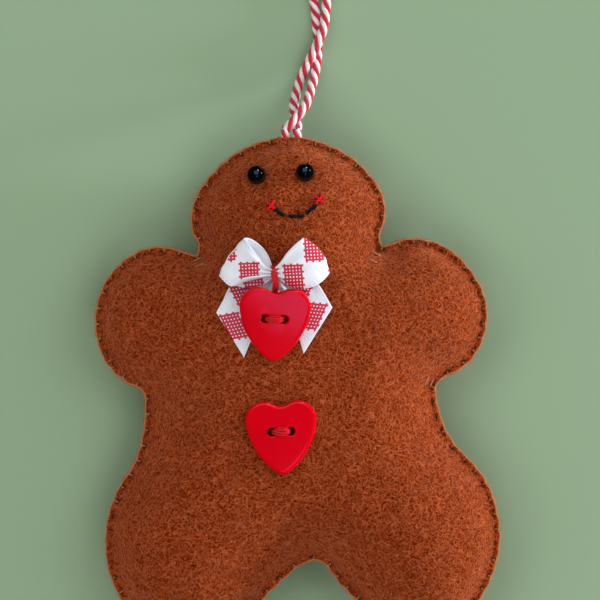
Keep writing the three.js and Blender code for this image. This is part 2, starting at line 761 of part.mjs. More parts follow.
/** The bow: two loops and two tails that meet in a gathered waist. */
function bow() {
  const waist = new THREE.CylinderGeometry(1, 1, WAIST_WIDTH, 10).rotateZ(Math.PI / 2);
  waist.scale(1, WAIST_HEIGHT / 2, WAIST_DEPTH / 2);
  waist.translate(...BOW_WAIST, bowFloor + WAIST_LIFT);
  return joined([
    solid(waist),
    strip(LEFT_LOOP_TOP, LEFT_LOOP_FOOT, 20),
    strip(RIGHT_LOOP_FOOT, RIGHT_LOOP_TOP, 20),
    strip(LEFT_TAIL_OUTER, LEFT_TAIL_INNER, 10),
    strip(RIGHT_TAIL_INNER, RIGHT_TAIL_OUTER, 10),
  ]);
}

/** The tie: turns of thread round the waist, both ends sewn down through the felt. */
function tieLine() {
  const middle = (TIE_TOP + TIE_BOTTOM) / 2;
  const tall = (TIE_TOP - TIE_BOTTOM) / 2;
  const back = bowFloor + REST_GAP + TIE_THREAD / 2 + 0.1;
  const front = bowFloor + WAIST_LIFT + WAIST_DEPTH / 2 + REST_GAP + TIE_THREAD / 2;
  const pitch = TIE_THREAD + 0.08;
  const points = [];
  const loops = 10;
  for (let i = 0; i <= TIE_TURNS * loops; i++) {
    const angle = Math.PI + (2 * Math.PI * i) / loops;
    const round = (value) => Math.sign(value) * Math.abs(value) ** 0.6;
    const x = BOW_WAIST[0] + (i / loops - TIE_TURNS / 2) * pitch;
    const z = (front + back) / 2 + (round(Math.cos(angle)) * (front - back)) / 2;
    points.push(vec(x, middle - tall * round(Math.sin(angle)), z));
  }
  const under = (p, side) => {
    const x = p.x + side * 0.75;
    const depth = 1.2 * TIE_THREAD + 2 * THREAD_FIT + 0.2;
    return [
      vec(x, p.y, underFelt(x, p.y, depth)),
      vec(x, p.y, feltTop(x, p.y) - FELT_THICKNESS / 2),
    ];
  };
  const first = points[0];
  const last = points[points.length - 1];
  return [...under(first, -1), ...points, ...under(last, 1).reverse()];
}

const group = new THREE.Group();

/** Adds one named piece with its own material. */
function add(name, geometry, color, roughness) {
  const mesh = new THREE.Mesh(geometry, new THREE.MeshStandardMaterial({ color, roughness }));
  mesh.name = name;
  group.add(mesh);
}

const upperPlace = buttonPlace(UPPER_BUTTON, UPPER_BUTTON_TURN, UPPER_BUTTON_TILT, UPPER_BUTTON_LIFT);
const lowerPlace = buttonPlace(LOWER_BUTTON, 0, 0, REST_GAP);
const mouthLine = stitchLine(MOUTH_STITCHES, MOUTH_THREAD, [0, 0, 0]);
const SEWN = [
  ["left_eye_thread", beadLine(LEFT_EYE), BEAD_THREAD, BLACK],
  ["right_eye_thread", beadLine(RIGHT_EYE), BEAD_THREAD, BLACK],
  ["mouth_thread", mouthLine, MOUTH_THREAD, BLACK],
  ["left_cheek_stitch", crossLine(LEFT_CHEEK), CHEEK_THREAD, RED],
  ["right_cheek_stitch", crossLine(RIGHT_CHEEK), CHEEK_THREAD, RED],
  ["bow_tie_thread", tieLine(), TIE_THREAD, RED],
  ["upper_button_thread", buttonLine(upperPlace), BUTTON_THREAD, RED],
  ["lower_button_thread", buttonLine(lowerPlace), BUTTON_THREAD, RED],
];

const sheathed = SEWN.map(([, line, diameter]) => ({ line, diameter }));
const needleHoles = joined(sheathed.flatMap(holesOf));
const hollows = joined(sheathed.map(hollowOf));
const twineRoom = sewnTwine(THREAD_FIT);

add("front_felt", geometryOf(solid(frontPanel).subtract(needleHoles.add(twineRoom))), FELT_BROWN, 0.95);
add("back_felt", geometryOf(solid(backPanel).subtract(twineRoom)), FELT_BROWN, 0.95);
add("filling", geometryOf(solid(wad).subtract(hollows.add(twineRoom))), 0xf1eee4, 1);
add("edge_stitching", blanketStitch(), 0xa9652f, 0.8);
add("hanging_loop", geometryOf(hangingLoop()), 0xd9a3a6, 0.8);
add("loop_anchor", geometryOf(sewnTwine(0)), 0xd9a3a6, 0.8);
add("left_eye_bead", bead(LEFT_EYE), BLACK, 0.1);
add("right_eye_bead", bead(RIGHT_EYE), BLACK, 0.1);
add("bow_ribbon", geometryOf(bow()), 0xe9e4ec, 0.6);
add("upper_heart_button", button().applyMatrix4(upperPlace), RED, 0.2);
add("lower_heart_button", button().applyMatrix4(lowerPlace), RED, 0.2);
for (const [name, line, diameter, color] of SEWN) add(name, geometryOf(thread(line, diameter)), color, 0.8);

const footprint = new THREE.Box3();
for (const mesh of group.children) if (mesh.name !== "hanging_loop") footprint.expandByObject(mesh);
const centre = footprint.getCenter(vec(0, 0, 0));
for (const mesh of group.children) mesh.geometry.translate(-centre.x, -centre.y, 0);

export default group;
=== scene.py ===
"""Looks of a stuffed felt gingerbread ornament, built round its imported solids.

Pieces are modelled in millimetres from the middle of the face: x to the right, y towards the
head, z out of the front. Each finished mesh is then set into the row frame, in metres.
"""

import functools
import logging
import math
from dataclasses import dataclass, field
from enum import Enum
from typing import Any, Callable, Iterable, Iterator, Sequence

import bmesh
import bpy
import numpy as np
from mathutils import Matrix, Vector, noise
from mathutils.bvhtree import BVHTree


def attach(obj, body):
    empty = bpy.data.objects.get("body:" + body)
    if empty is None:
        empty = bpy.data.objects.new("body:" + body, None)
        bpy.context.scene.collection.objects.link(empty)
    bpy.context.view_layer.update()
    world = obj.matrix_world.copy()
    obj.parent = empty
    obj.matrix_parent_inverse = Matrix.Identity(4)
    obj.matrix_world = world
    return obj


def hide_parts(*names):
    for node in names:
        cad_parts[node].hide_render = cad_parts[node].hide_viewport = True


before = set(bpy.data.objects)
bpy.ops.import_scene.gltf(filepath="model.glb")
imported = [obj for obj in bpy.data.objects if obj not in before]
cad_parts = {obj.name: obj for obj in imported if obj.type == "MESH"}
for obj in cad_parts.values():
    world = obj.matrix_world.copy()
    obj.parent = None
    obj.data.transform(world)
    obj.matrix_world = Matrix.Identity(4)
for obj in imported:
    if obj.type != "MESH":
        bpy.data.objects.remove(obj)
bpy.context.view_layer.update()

log = logging.getLogger("felt_ornament")

MM = 0.001
FACE_Y = 36.456576
SEAM_Z = 9.0
CROWN_Y = 16.8
FELT_THICKNESS = 1.5
STITCH_PITCH = 3.4
STITCH_LEG = 0.95
FULL_TURN = 2 * math.pi

Point = Sequence[float]
Shape = bmesh.types.BMesh
Vert = bmesh.types.BMVert
Piece = bpy.types.Object
Material = bpy.types.Material
Tree = bpy.types.NodeTree
Node = bpy.types.Node
Socket = bpy.types.NodeSocket


class Body(str, Enum):
    """The bodies that the pieces ride on."""

    FIGURE = "figure"
    LOOP = "hanging_loop"
    LEFT_EYE = "left_eye"
    RIGHT_EYE = "right_eye"
    UPPER_BUTTON = "upper_button"
    LOWER_BUTTON = "lower_button"


class Slot(str, Enum):
    """The finishes named in the record."""

    FELT = "brown_felt"
    FIBRE = "white_fibre"
    TAN_THREAD = "tan_thread"
    TWINE = "twine"
    BEAD = "black_bead"
    BLACK_THREAD = "black_thread"
    RED_THREAD = "red_thread"
    RIBBON = "ribbon"
    BUTTON = "red_button"


class Side(Enum):
    """Left and right as seen from the front, as a sign of x."""

    LEFT = -1
    RIGHT = 1


class Strip(Enum):
    """The bow's strips, in the order in which the ribbon runs through them."""

    LEFT_TAIL = 0
    LEFT_LOOP = 1
    RIGHT_LOOP = 2
    RIGHT_TAIL = 3

    @property
    def looped(self) -> bool:
        """Whether the strip is one of the loops."""
        return self in (Strip.LEFT_LOOP, Strip.RIGHT_LOOP)

    @property
    def side(self) -> Side:
        """The side that the strip lies on."""
        return Side.LEFT if self.name.startswith("LEFT") else Side.RIGHT


class Face(Enum):
    """Front and back of the figure, as a sign of z from the seam."""

    FRONT = 1
    BACK = -1


# Small helpers


def srgb(red: int, green: int, blue: int) -> tuple[float, float, float, float]:
    """A screen colour as linear light.

    Args:
        red, green, blue: Levels from 0 to 255.

    Returns:
        Linear red, green and blue, and an alpha of 1.
    """
    shares = (value / 255 for value in (red, green, blue))
    return (*(s / 12.92 if s <= 0.04045 else ((s + 0.055) / 1.055) ** 2.4 for s in shares), 1.0)


def smooth_line(points: Iterable[Point], step: float) -> np.ndarray:
    """A centripetal Catmull-Rom line through points, resampled evenly.

    Args:
        points: The points that the line passes, at least two.
        step: Distance between samples, in the points' own unit.

    Returns:
        An array of samples, one row each, both ends included.
    """
    given = np.array([tuple(p) for p in points], float)
    whole = np.vstack([2 * given[0] - given[1], given, 2 * given[-1] - given[-2]])
    rows = []
    for p0, p1, p2, p3 in zip(whole, whole[1:], whole[2:], whole[3:]):
        gaps = ((p0, p1), (p1, p2), (p2, p3))
        d0, d1, d2 = (max(np.linalg.norm(b - a), 1e-6) ** 0.5 for a, b in gaps)
        m1 = ((p1 - p0) / d0 - (p2 - p0) / (d0 + d1) + (p2 - p1) / d1) * d1
        m2 = ((p2 - p1) / d1 - (p3 - p1) / (d1 + d2) + (p3 - p2) / d2) * d1
        t = np.linspace(0, 1, 24, endpoint=False)[:, None]
        cubic = (2 * p1 - 2 * p2 + m1 + m2) * t**3 + (3 * p2 - 3 * p1 - 2 * m1 - m2) * t**2
        rows.append(cubic + m1 * t + p1)
    rows.append(given[-1:])
    return resampled(np.vstack(rows), step)


def resampled(line: np.ndarray, step: float) -> np.ndarray:
    """A polyline with evenly spaced points.

    Args:
        line: Rows of points.
        step: Distance wanted between points.

    Returns:
        Rows of points, both ends included.
    """
    run = run_along(line)
    places = np.linspace(0, run[-1], max(2, round(run[-1] / step)) + 1)
    return np.column_stack([np.interp(places, run, column) for column in line.T])


def length_of(line: np.ndarray) -> float:
    """Length of a polyline."""
    return float(np.linalg.norm(np.diff(line, axis=0), axis=1).sum())


def run_along(line: np.ndarray) -> np.ndarray:
    """How far along a polyline each of its points lies."""
    return np.concatenate([[0], np.cumsum(np.linalg.norm(np.diff(line, axis=0), axis=1))])


def unit(rows: np.ndarray) -> np.ndarray:
    """Rows of vectors brought to length one."""
    return rows / np.linalg.norm(rows, axis=1)[:, None]


def neighbours(ring: list) -> Iterator[tuple]:
    """The pairs of a closed ring, the last with the first."""
    return zip(ring, ring[1:] + ring[:1])


def slices(count: int, size: int = 1500) -> Iterator[slice]:
    """Cuts a long array into slices, so that tables of distances stay small."""
    return (slice(start, start + size) for start in range(0, count, size))


def frames_along(line: np.ndarray) -> tuple[np.ndarray, np.ndarray]:
    """Two directions across a line at each point, turning as little as possible.

    Args:
        line: Rows of points.

    Returns:
        Two arrays of unit vectors, square to the line and to each other.
    """
    along = unit(np.gradient(line, axis=0))
    start = np.cross(along[0], (0.0, 0.0, 1.0))
    if np.linalg.norm(start) < 0.1:
        start = np.cross(along[0], (1.0, 0.0, 0.0))
    across = [start / np.linalg.norm(start)]
    for tangent in along[1:]:
        kept = across[-1] - tangent * (across[-1] @ tangent)
        across.append(kept / np.linalg.norm(kept))
    first = np.array(across)
    return first, np.cross(along, first)


def plies_of(
    line: np.ndarray, count: int, spread: float, lay: float, phase: float = 0.0
) -> list[np.ndarray]:
    """The strands of a twisted cord.

    Args:
        line: The cord's centreline.
        count: How many strands.
        spread: Distance of each strand's middle from the centreline.
        lay: Length of one full turn.
        phase: Turn of the first strand at the start, in radians.

    Returns:
        One line for each strand.
    """
    first, second = frames_along(line)
    run = run_along(line)
    strands = []
    for k in range(count):
        angle = (FULL_TURN * run / lay + FULL_TURN * k / count + phase)[:, None]
        strands.append(line + spread * (np.cos(angle) * first + np.sin(angle) * second))
    return strands


def placed(points: np.ndarray) -> np.ndarray:
    """Points in millimetres from the face as points of the row frame, in metres."""
    return (np.asarray(points, float) + (0, FACE_Y, 0)) * MM


def new_object(mesh: bpy.types.Mesh, name: str, materials: Sequence[Material]) -> Piece:
    """An object at the origin that shows a mesh.

    Args:
        mesh: Its mesh, already in the row frame.
        name: The piece's name.
        materials: Materials in the order of the faces' indices.

    Returns:
        The linked object.
    """
    mesh.name = name
    if not mesh.materials:
        for material in materials:
            mesh.materials.append(material)
    mesh.shade_smooth()
    made = bpy.data.objects.new(name, mesh)
    bpy.context.scene.collection.objects.link(made)
    return made


def in_order(shape: Shape, place: Callable[[Vert], tuple]) -> None:
    """Sorts a shape's points by place and its edges and faces by their points.

    Extruding leaves them in an order that changes from run to run.

    Args:
        shape: The shape.
        place: What a point is sorted by.
    """
    rank = {v: k for k, v in enumerate(sorted(shape.verts, key=place))}
    shape.verts.sort(key=rank.get)
    shape.verts.index_update()
    for parts in (shape.edges, shape.faces):
        ordered = sorted(parts, key=lambda p: sorted(v.index for v in p.verts))
        rank = {p: k for k, p in enumerate(ordered)}
        parts.sort(key=rank.get)
        parts.index_update()


def piece_of(shape: Shape, name: str, *materials: Material) -> Piece:
    """Sets a shape modelled in millimetres into the row frame as a piece.

    Args:
        shape: The shape, which is freed.
        name: The piece's name.
        materials: Its materials.

    Returns:
        The piece's object.
    """
    bmesh.ops.translate(shape, verts=shape.verts, vec=(0, FACE_Y, 0))
    bmesh.ops.scale(shape, verts=shape.verts, vec=(MM, MM, MM))
    mesh = bpy.data.meshes.new(name)
    shape.to_mesh(mesh)
    shape.free()
    return new_object(mesh, name, materials)


def strands_piece(
    name: str, lines: Sequence[tuple[np.ndarray, int]], diameter: float, *materials: Material,
    round_to: int = 1,
) -> Piece:
    """A piece of round strands.

    Args:
        name: The piece's name.
        lines: Each strand's centreline in millimetres from the face, and its material's index.
        diameter: Thickness of a strand in millimetres.
        materials: The materials that the indices name.
        round_to: How round a strand is: 1 gives six sides, 2 gives eight.

    Returns:
        The piece's object.
    """
    curve = bpy.data.curves.new(name, "CURVE")
    curve.dimensions = "3D"
    curve.bevel_depth = diameter / 2 * MM
    curve.bevel_resolution = round_to
    curve.use_fill_caps = True
    for material in materials:
        curve.materials.append(material)
    for line, index in lines:
        rows = placed(line)
        spline = curve.splines.new("POLY")
        spline.points.add(len(rows) - 1)
        spline.points.foreach_set("co", np.column_stack([rows, np.ones(len(rows))]).ravel())
        spline.material_index = index
    holder = bpy.data.objects.new(name + "-line", curve)
    bpy.context.scene.collection.objects.link(holder)
    graph = bpy.context.evaluated_depsgraph_get()
    mesh = bpy.data.meshes.new_from_object(holder.evaluated_get(graph))
    bpy.data.objects.remove(holder)
    bpy.data.curves.remove(curve)
    return new_object(mesh, name, materials)


def subdivided(piece: Piece, levels: int) -> Piece:
    """Rounds a piece with a subdivision surface.

    Args:
        piece: The piece.
        levels: How often its faces are divided.

    Returns:
        The piece.
    """
    rounding = piece.modifiers.new("rounding", "SUBSURF")
    rounding.levels = rounding.render_levels = levels
    return piece


# Shader trees


class Wiring:
    """Adds nodes to a shader tree and wires them."""

    def __init__(self, tree: Tree) -> None:
        """Starts on a tree."""
        self.tree = tree

    def node(self, kind: str, inputs: dict[str | int, Any] | None = None, **settings: Any) -> Node:
        """Adds a node.

        Args:
            kind: Its type, without the prefix of shader nodes.
            inputs: Values or sockets for its inputs, by name or number.
            settings: Its own properties.

        Returns:
            The node.
        """
        made = self.tree.nodes.new(kind if kind.startswith("Node") else "ShaderNode" + kind)
        for name, value in settings.items():
            setattr(made, name, value)
        for name, value in (inputs or {}).items():
            if isinstance(value, Socket):
                self.link(value, made, name)
            else:
                made.inputs[name].default_value = value
        return made

    def math(self, operation: str, *values: Any) -> Socket:
        """The result of a math node on numbers or sockets."""
        return self.node("Math", dict(enumerate(values)), operation=operation).outputs[0]

    def noise(self, vector: Socket, scale: Any, detail: float) -> Socket:
        """Soft noise on coordinates, from nought to one."""
        values = {"Vector": vector, "Scale": scale, "Detail": detail}
        return self.node("TexNoise", values).outputs[0]

    def ramp(self, value: Socket, stops: Sequence[tuple[float, tuple]]) -> Socket:
        """A colour ramp.

        Args:
            value: The place on the ramp, from nought to one.
            stops: Places and colours, in order.

        Returns:
            The colour's socket.
        """
        made = self.node("ValToRGB", {0: value})
        elements = made.color_ramp.elements
        for _ in stops[2:]:
            elements.new(0.5)
        for element, (place, colour) in zip(elements, stops):
            element.position = place
            element.color = colour
        return made.outputs[0]

    def mixed(self, share: Any, first: Any, second: Any, blend: str = "MIX") -> Socket:
        """Two colours mixed by a share."""
        made = self.node("Mix", {0: share, 6: first, 7: second}, data_type="RGBA", blend_type=blend)
        return made.outputs[2]

    def stretch(self, value: Socket, low: float, high: float) -> Socket:
        """A value's span from low to high spread over nought to one."""
        return self.node("MapRange", {0: value, 1: low, 2: high}).outputs[0]

    def within(self, value: Any, low: float, high: float) -> Socket:
        """One where a value lies between two limits, nought elsewhere."""
        above = self.math("GREATER_THAN", value, low)
        return self.math("MULTIPLY", above, self.math("LESS_THAN", value, high))

    def wave(self, place: Socket, length: float) -> Socket:
        """A sine wave along a place."""
        return self.math("SINE", self.math("MULTIPLY", place, FULL_TURN / length))

    def largest(self, values: Iterable[Socket]) -> Socket:
        """The largest of several values."""
        return functools.reduce(functools.partial(self.math, "MAXIMUM"), values)

    def shaded(self, colour: Any, level: Socket) -> Socket:
        """A colour made lighter or darker by a level."""
        grey = self.node("CombineColor", {0: level, 1: level, 2: level}).outputs[0]
        return self.mixed(1.0, colour, grey, "MULTIPLY")

    def link(self, socket: Socket, node: Node, label: str | int) -> None:
        """Wires a socket to a node's input."""
        self.tree.links.new(socket, node.inputs[label])


class Surface(Wiring):
    """The wiring of a material, with its shader and the object's coordinates."""

    def __init__(self, material: Material) -> None:
        """Starts on a material.

        Args:
            material: The material, which uses nodes.
        """
        super().__init__(material.node_tree)
        self.shader = self.tree.nodes["Principled BSDF"]
        self.place = self.node("TexCoord").outputs["Object"]

    def show(self, label: str, socket: Socket) -> None:
        """Wires a socket to one of the shader's inputs."""
        self.link(socket, self.shader, label)

    def group(self, name: str, **values: float) -> Node:
        """Places a shared node group on the coordinates, with values of its own."""
        tree = bpy.data.node_groups[name]
        return self.node("Group", {"Vector": self.place, **values}, node_tree=tree)


def shader_group(
    name: str, inputs: dict[str, float], outputs: Sequence[str]
) -> tuple[Wiring, Node, Node]:
    """A new node group that works on coordinates.

    Args:
        name: The group's name.
        inputs: Its numbers with their defaults, which follow the coordinates.
        outputs: The numbers that it gives.

    Returns:
        Its wiring, its input node and its output node.
    """
    tree = bpy.data.node_groups.new(name, "ShaderNodeTree")
    tree.interface.new_socket("Vector", in_out="INPUT", socket_type="NodeSocketVector")
    for label, default in inputs.items():
        made = tree.interface.new_socket(label, in_out="INPUT", socket_type="NodeSocketFloat")
        made.default_value = default
    for label in outputs:
        tree.interface.new_socket(label, in_out="OUTPUT", socket_type="NodeSocketFloat")
    wiring = Wiring(tree)
    return wiring, wiring.node("NodeGroupInput"), wiring.node("NodeGroupOutput")


def streaks_group() -> None:
    """Curled fibres lying every way: how much shows, the pits between them and a finer grain."""
    sizes = {"Length": 0.003, "Thickness": 0.00026, "Curl": 0.0014, "Pit Size": 0.0006}
    wiring, given, result = shader_group("fibre_streaks", sizes, ("Fibres", "Pits", "Grain"))
    place = given.outputs["Vector"]
    drift = wiring.node("TexNoise", {"Vector": place, "Scale": 420.0, "Detail": 1.0})
    half = (0.5, 0.5, 0.5)
    centred = wiring.node("VectorMath", {0: drift.outputs[1], 1: half}, operation="SUBTRACT")
    amount = {0: centred.outputs[0], "Scale": given.outputs["Curl"]}
    curl = wiring.node("VectorMath", amount, operation="SCALE")
    bent = wiring.node("VectorMath", {0: place, 1: curl.outputs[0]}, operation="ADD").outputs[0]
    along = wiring.math("DIVIDE", 1.0, given.outputs["Length"])
    across = wiring.math("DIVIDE", 1.0, given.outputs["Thickness"])
    scale = wiring.node("CombineXYZ", {0: along, 1: across, 2: across}).outputs[0]
    streaks = []
    for k in range(6):
        turn = (0.3 * k, 0.2 * k, math.radians(30 * k + 7))
        turned = wiring.node("VectorRotate", {0: bent, "Rotation": turn}, rotation_type="EULER_XYZ")
        shift = {0: turned.outputs[0], 1: scale, 2: (3.1 * k, 1.7 * k, k)}
        moved = wiring.node("VectorMath", shift, operation="MULTIPLY_ADD")
        streaks.append(wiring.noise(moved.outputs[0], 1.0, 0.0))
    curls = []
    for k, finer in enumerate((2.2, 3.0, 4.2)):
        fine = wiring.math("DIVIDE", finer, given.outputs["Length"])
        away = wiring.math("SUBTRACT", wiring.noise(bent, fine, 0.0), 0.46 + 0.04 * k)
        curls.append(wiring.stretch(wiring.math("ABSOLUTE", away), 0.07, 0.0))
    hollow = wiring.noise(place, wiring.math("DIVIDE", 1.0, given.outputs["Pit Size"]), 1.5)
    straight = wiring.math("MULTIPLY", wiring.stretch(wiring.largest(streaks), 0.6, 0.9), 0.8)
    curled = wiring.math("MULTIPLY", wiring.largest(curls), 0.85)
    wiring.link(wiring.math("MAXIMUM", straight, curled), result, "Fibres")
    wiring.link(wiring.stretch(hollow, 0.46, 0.3), result, "Pits")
    wiring.link(wiring.noise(place, 3300.0, 3.0), result, "Grain")


def mottle_group() -> None:
    """Slow unevenness of a dyed or moulded surface, centred on one."""
    sizes = {"Scale": 120.0, "Amount": 0.2}
    wiring, given, result = shader_group("soft_mottle", sizes, ("Level", "Height"))
    cloud = wiring.noise(given.outputs["Vector"], given.outputs["Scale"], 3.0)
    centred = wiring.math("SUBTRACT", cloud, 0.5)
    level = wiring.math("MULTIPLY_ADD", centred, given.outputs["Amount"], 1.0)
    wiring.link(level, result, "Level")
    wiring.link(cloud, result, "Height")


@dataclass(frozen=True)
class Finish:
    """A material: what its surface is like everywhere, and how its colour is made up."""

    name: str
    roughness: float = 0.8
    sheen: float = 0.0
    sheen_tint: tuple = (1.0, 1.0, 1.0, 1.0)
    specular: float = 0.5
    bump: float = 0.5
    depth: float = 0.1

    def material(self) -> Material:
        """Builds the material.

        Returns:
            The finished material.
        """
        made = bpy.data.materials.new(self.name)
        made.use_nodes = True
        wiring = Surface(made)
        values = {
            "Roughness": self.roughness,
            "Specular IOR Level": self.specular,
            "Sheen Weight": self.sheen,
            "Sheen Tint": self.sheen_tint,
            "Sheen Roughness": 0.4,
        }
        for label, value in values.items():
            wiring.shader.inputs[label].default_value = value
        self.paint(wiring)
        return made

    def paint(self, wiring: Surface) -> None:
        """Wires the colour and relief; each kind of finish has its own."""
        raise NotImplementedError

    def relief(self, wiring: Surface, height: Socket) -> None:
        """Gives the shader a bump, from a height between nought and one."""
        values = {"Strength": self.bump, "Distance": self.depth * MM, "Height": height}
        wiring.show("Normal", wiring.node("Bump", values).outputs[0])


@dataclass(frozen=True)
class FeltFinish(Finish):
    """Pressed wool: painted shade between fibres and in hollows, needle pits and creases; top fibres
    lighter, partly by painted sheen.
    """

    # The dark end is painted shade between the fibres.
    dark: tuple = srgb(92, 22, 0)
    middle: tuple = srgb(119, 35, 0)
    # The light end is partly the top fibres' own colour, partly painted sheen on them.
    light: tuple = srgb(187, 101, 62)
    # How far painted shade darkens the open hollows between fibres.
    hollow: float = 0.58

    def paint(self, wiring: Surface) -> None:
        """Wires fibres, grain, slow mottling, and painted shade in the hollows between fibres and in
        the stitches' pits and creases.

        Args:
            wiring: The material's wiring.
        """
        streaks = wiring.group("fibre_streaks")
        mottle = wiring.group("soft_mottle", Scale=160.0, Amount=0.3)
        grain = wiring.stretch(streaks.outputs["Grain"], 0.25, 0.75)
        fibres = streaks.outputs["Fibres"]
        laid = wiring.math("MULTIPLY_ADD", fibres, 0.7, wiring.math("MULTIPLY", grain, 0.3))
        colour = wiring.ramp(laid, ((0.05, self.dark), (0.35, self.middle), (1.0, self.light)))
        # Painted shade: the open hollows between fibres are darkened.
        bare = wiring.math("SUBTRACT", 1.0, fibres)
        open_ = wiring.math("MULTIPLY", streaks.outputs["Pits"], bare)
        # Painted shade in the needle pits and creases, read from the panel's layer.
        pit = wiring.node("Attribute", attribute_name="stitch_pit").outputs["Fac"]
        kept = wiring.math("MULTIPLY_ADD", open_, -self.hollow, 1.0)
        kept = wiring.math("MULTIPLY", kept, wiring.math("SUBTRACT", 1.0, pit))
        level = wiring.math("MULTIPLY", mottle.outputs["Level"], kept)
        wiring.show("Base Color", wiring.shaded(colour, level))
        self.relief(wiring, wiring.math("MULTIPLY_ADD", open_, -0.5, laid))


@dataclass(frozen=True)
class FibreFinish(Finish):
    """Loose fibres: each has its own shade, kept with its mesh."""

    dark: tuple = srgb(124, 50, 16)
    light: tuple = srgb(226, 146, 104)

    def paint(self, wiring: Surface) -> None:
        """Wires each fibre's shade and a slight change along it.

        Args:
            wiring: The material's wiring.
        """
        shade = wiring.node("Attribute", attribute_name="shade").outputs["Fac"]
        mottle = wiring.group("soft_mottle", Scale=900.0, Amount=0.5)
        value = wiring.math("MULTIPLY", shade, mottle.outputs["Level"])
        colour = wiring.ramp(value, ((0.0, self.dark), (1.0, self.light)))
        wiring.show("Base Color", colour)
        self.relief(wiring, mottle.outputs["Height"])


@dataclass(frozen=True)
class YarnFinish(Finish):
    """Spun thread or twine: one colour, fine fibres and shallow unevenness."""

    colour: tuple = (0.5, 0.5, 0.5, 1.0)
    shadow: tuple = (0.2, 0.2, 0.2, 1.0)
    fibre: float = 0.05

    def paint(self, wiring: Surface) -> None:
        """Wires fine fibres over the dyed colour.

        Args:
            wiring: The material's wiring.
        """
        sizes = {"Length": 0.0007, "Thickness": self.fibre * MM, "Curl": 0.0002}
        streaks = wiring.group("fibre_streaks", **sizes)
        mottle = wiring.group("soft_mottle", Scale=700.0, Amount=0.35)
        fibres = wiring.math("MULTIPLY", streaks.outputs["Fibres"], mottle.outputs["Level"])
        colour = wiring.ramp(fibres, ((0.0, self.shadow), (0.55, self.colour)))
        wiring.show("Base Color", colour)
        self.relief(wiring, streaks.outputs["Fibres"])


@dataclass(frozen=True)
class RibbonFinish(Finish):
    """White ribbon with patches of red check in two staggered rows, and a stitched selvedge."""

    white: tuple = srgb(222, 226, 240)
    red: tuple = srgb(196, 10, 54)
    edge: tuple = srgb(170, 180, 206)
    cell: tuple = (5.8, 4.7)
    margin: tuple = (0.25, 0.3)
    lines: tuple = (8, 6)
    pitch: float = 0.68
    line: float = 0.42
    tick: float = 0.34
    yarn: float = 0.24
    hem: tuple = (4.4, 4.6)
    dash: float = 0.8

    def side(self, way: int) -> float:
        """Length of a patch one way."""
        return self.pitch * (self.lines[way] - 1) + self.line

    def bars(self, wiring: Wiring, local: Any, way: int, every: int) -> Socket:
        """The lattice's lines one way inside a cell.

        Args:
            wiring: The material's wiring.
            local: Millimetres across the lines, from the cell's corner.
            way: Which of the two directions.
            every: 1 for all lines, 2 for every second one.

        Returns:
            One on a line, nought beside it.
        """
        shifted = wiring.math("SUBTRACT", local, self.margin[way])
        turn = wiring.math("FLOORED_MODULO", shifted, self.pitch * every)
        on = wiring.math("LESS_THAN", turn, self.line)
        return wiring.math("MULTIPLY", on, wiring.within(shifted, 0.0, self.side(way)))

    def span(self, wiring: Wiring, local: Any, way: int, reach: float) -> Socket:
        """Where a patch lies one way inside a cell, grown by a reach."""
        low = self.margin[way]
        return wiring.within(local, low - reach, low + self.side(way) + reach)

    def check(self, wiring: Wiring) -> Socket:
        """The print: lattices in every second cell of two rows, with lines that stick out.

        Args:
            wiring: The material's wiring.

        Returns:
            One on print, nought on plain ribbon.
        """
        print_map = wiring.node("UVMap", uv_map="print").outputs[0]
        split = wiring.node("SeparateXYZ", {0: print_map})
        cells, locals_ = [], []
        for way in (0, 1):
            place = wiring.math("MULTIPLY", split.outputs[way], 1000.0)
            cell = wiring.math("FLOOR", wiring.math("DIVIDE", place, self.cell[way]))
            cells.append(cell)
            corner = wiring.math("MULTIPLY", cell, self.cell[way])
            locals_.append(wiring.math("SUBTRACT", place, corner))
        odd = wiring.math("FLOORED_MODULO", wiring.math("ADD", *cells), 2.0)
        aside = wiring.math("ABSOLUTE", wiring.math("ADD", cells[0], 0.5))
        row = wiring.math("LESS_THAN", aside, 1.0)
        shown = wiring.math("MULTIPLY", wiring.math("SUBTRACT", 1.0, odd), row)
        prints = []
        for way in (0, 1):
            other = 1 - way
            for every, reach in ((1, 0.0), (2, self.tick)):
                bars = self.bars(wiring, locals_[way], way, every)
                span = self.span(wiring, locals_[other], other, reach)
                prints.append(wiring.math("MULTIPLY", bars, span))
        return wiring.math("MULTIPLY", shown, wiring.largest(prints))

    def paint(self, wiring: Surface) -> None:
        """Wires the print, the selvedge and the weave on the ribbon's own maps.

        Args:
            wiring: The material's wiring.
        """
        flat = wiring.node("UVMap", uv_map="ribbon").outputs[0]
        split = wiring.node("SeparateXYZ", {0: flat})
        across, along = (wiring.math("MULTIPLY", split.outputs[k], 1000.0) for k in (0, 1))
        mottle = wiring.group("soft_mottle", Scale=300.0, Amount=0.1)
        weft, warp = (wiring.wave(way, self.yarn) for way in (along, across))
        weave = wiring.math("MULTIPLY_ADD", wiring.math("MULTIPLY", weft, warp), 0.5, 0.5)
        hem = wiring.within(wiring.math("ABSOLUTE", across), *self.hem)
        dash = wiring.math("GREATER_THAN", wiring.wave(along, self.dash), 0.3)
        seam = wiring.math("MULTIPLY", hem, wiring.math("MULTIPLY_ADD", dash, 0.5, 0.12))
        plain = wiring.mixed(seam, self.white, self.edge)
        colour = wiring.mixed(self.check(wiring), plain, self.red)
        wiring.show("Base Color", wiring.shaded(colour, mottle.outputs["Level"]))
        self.relief(wiring, weave)


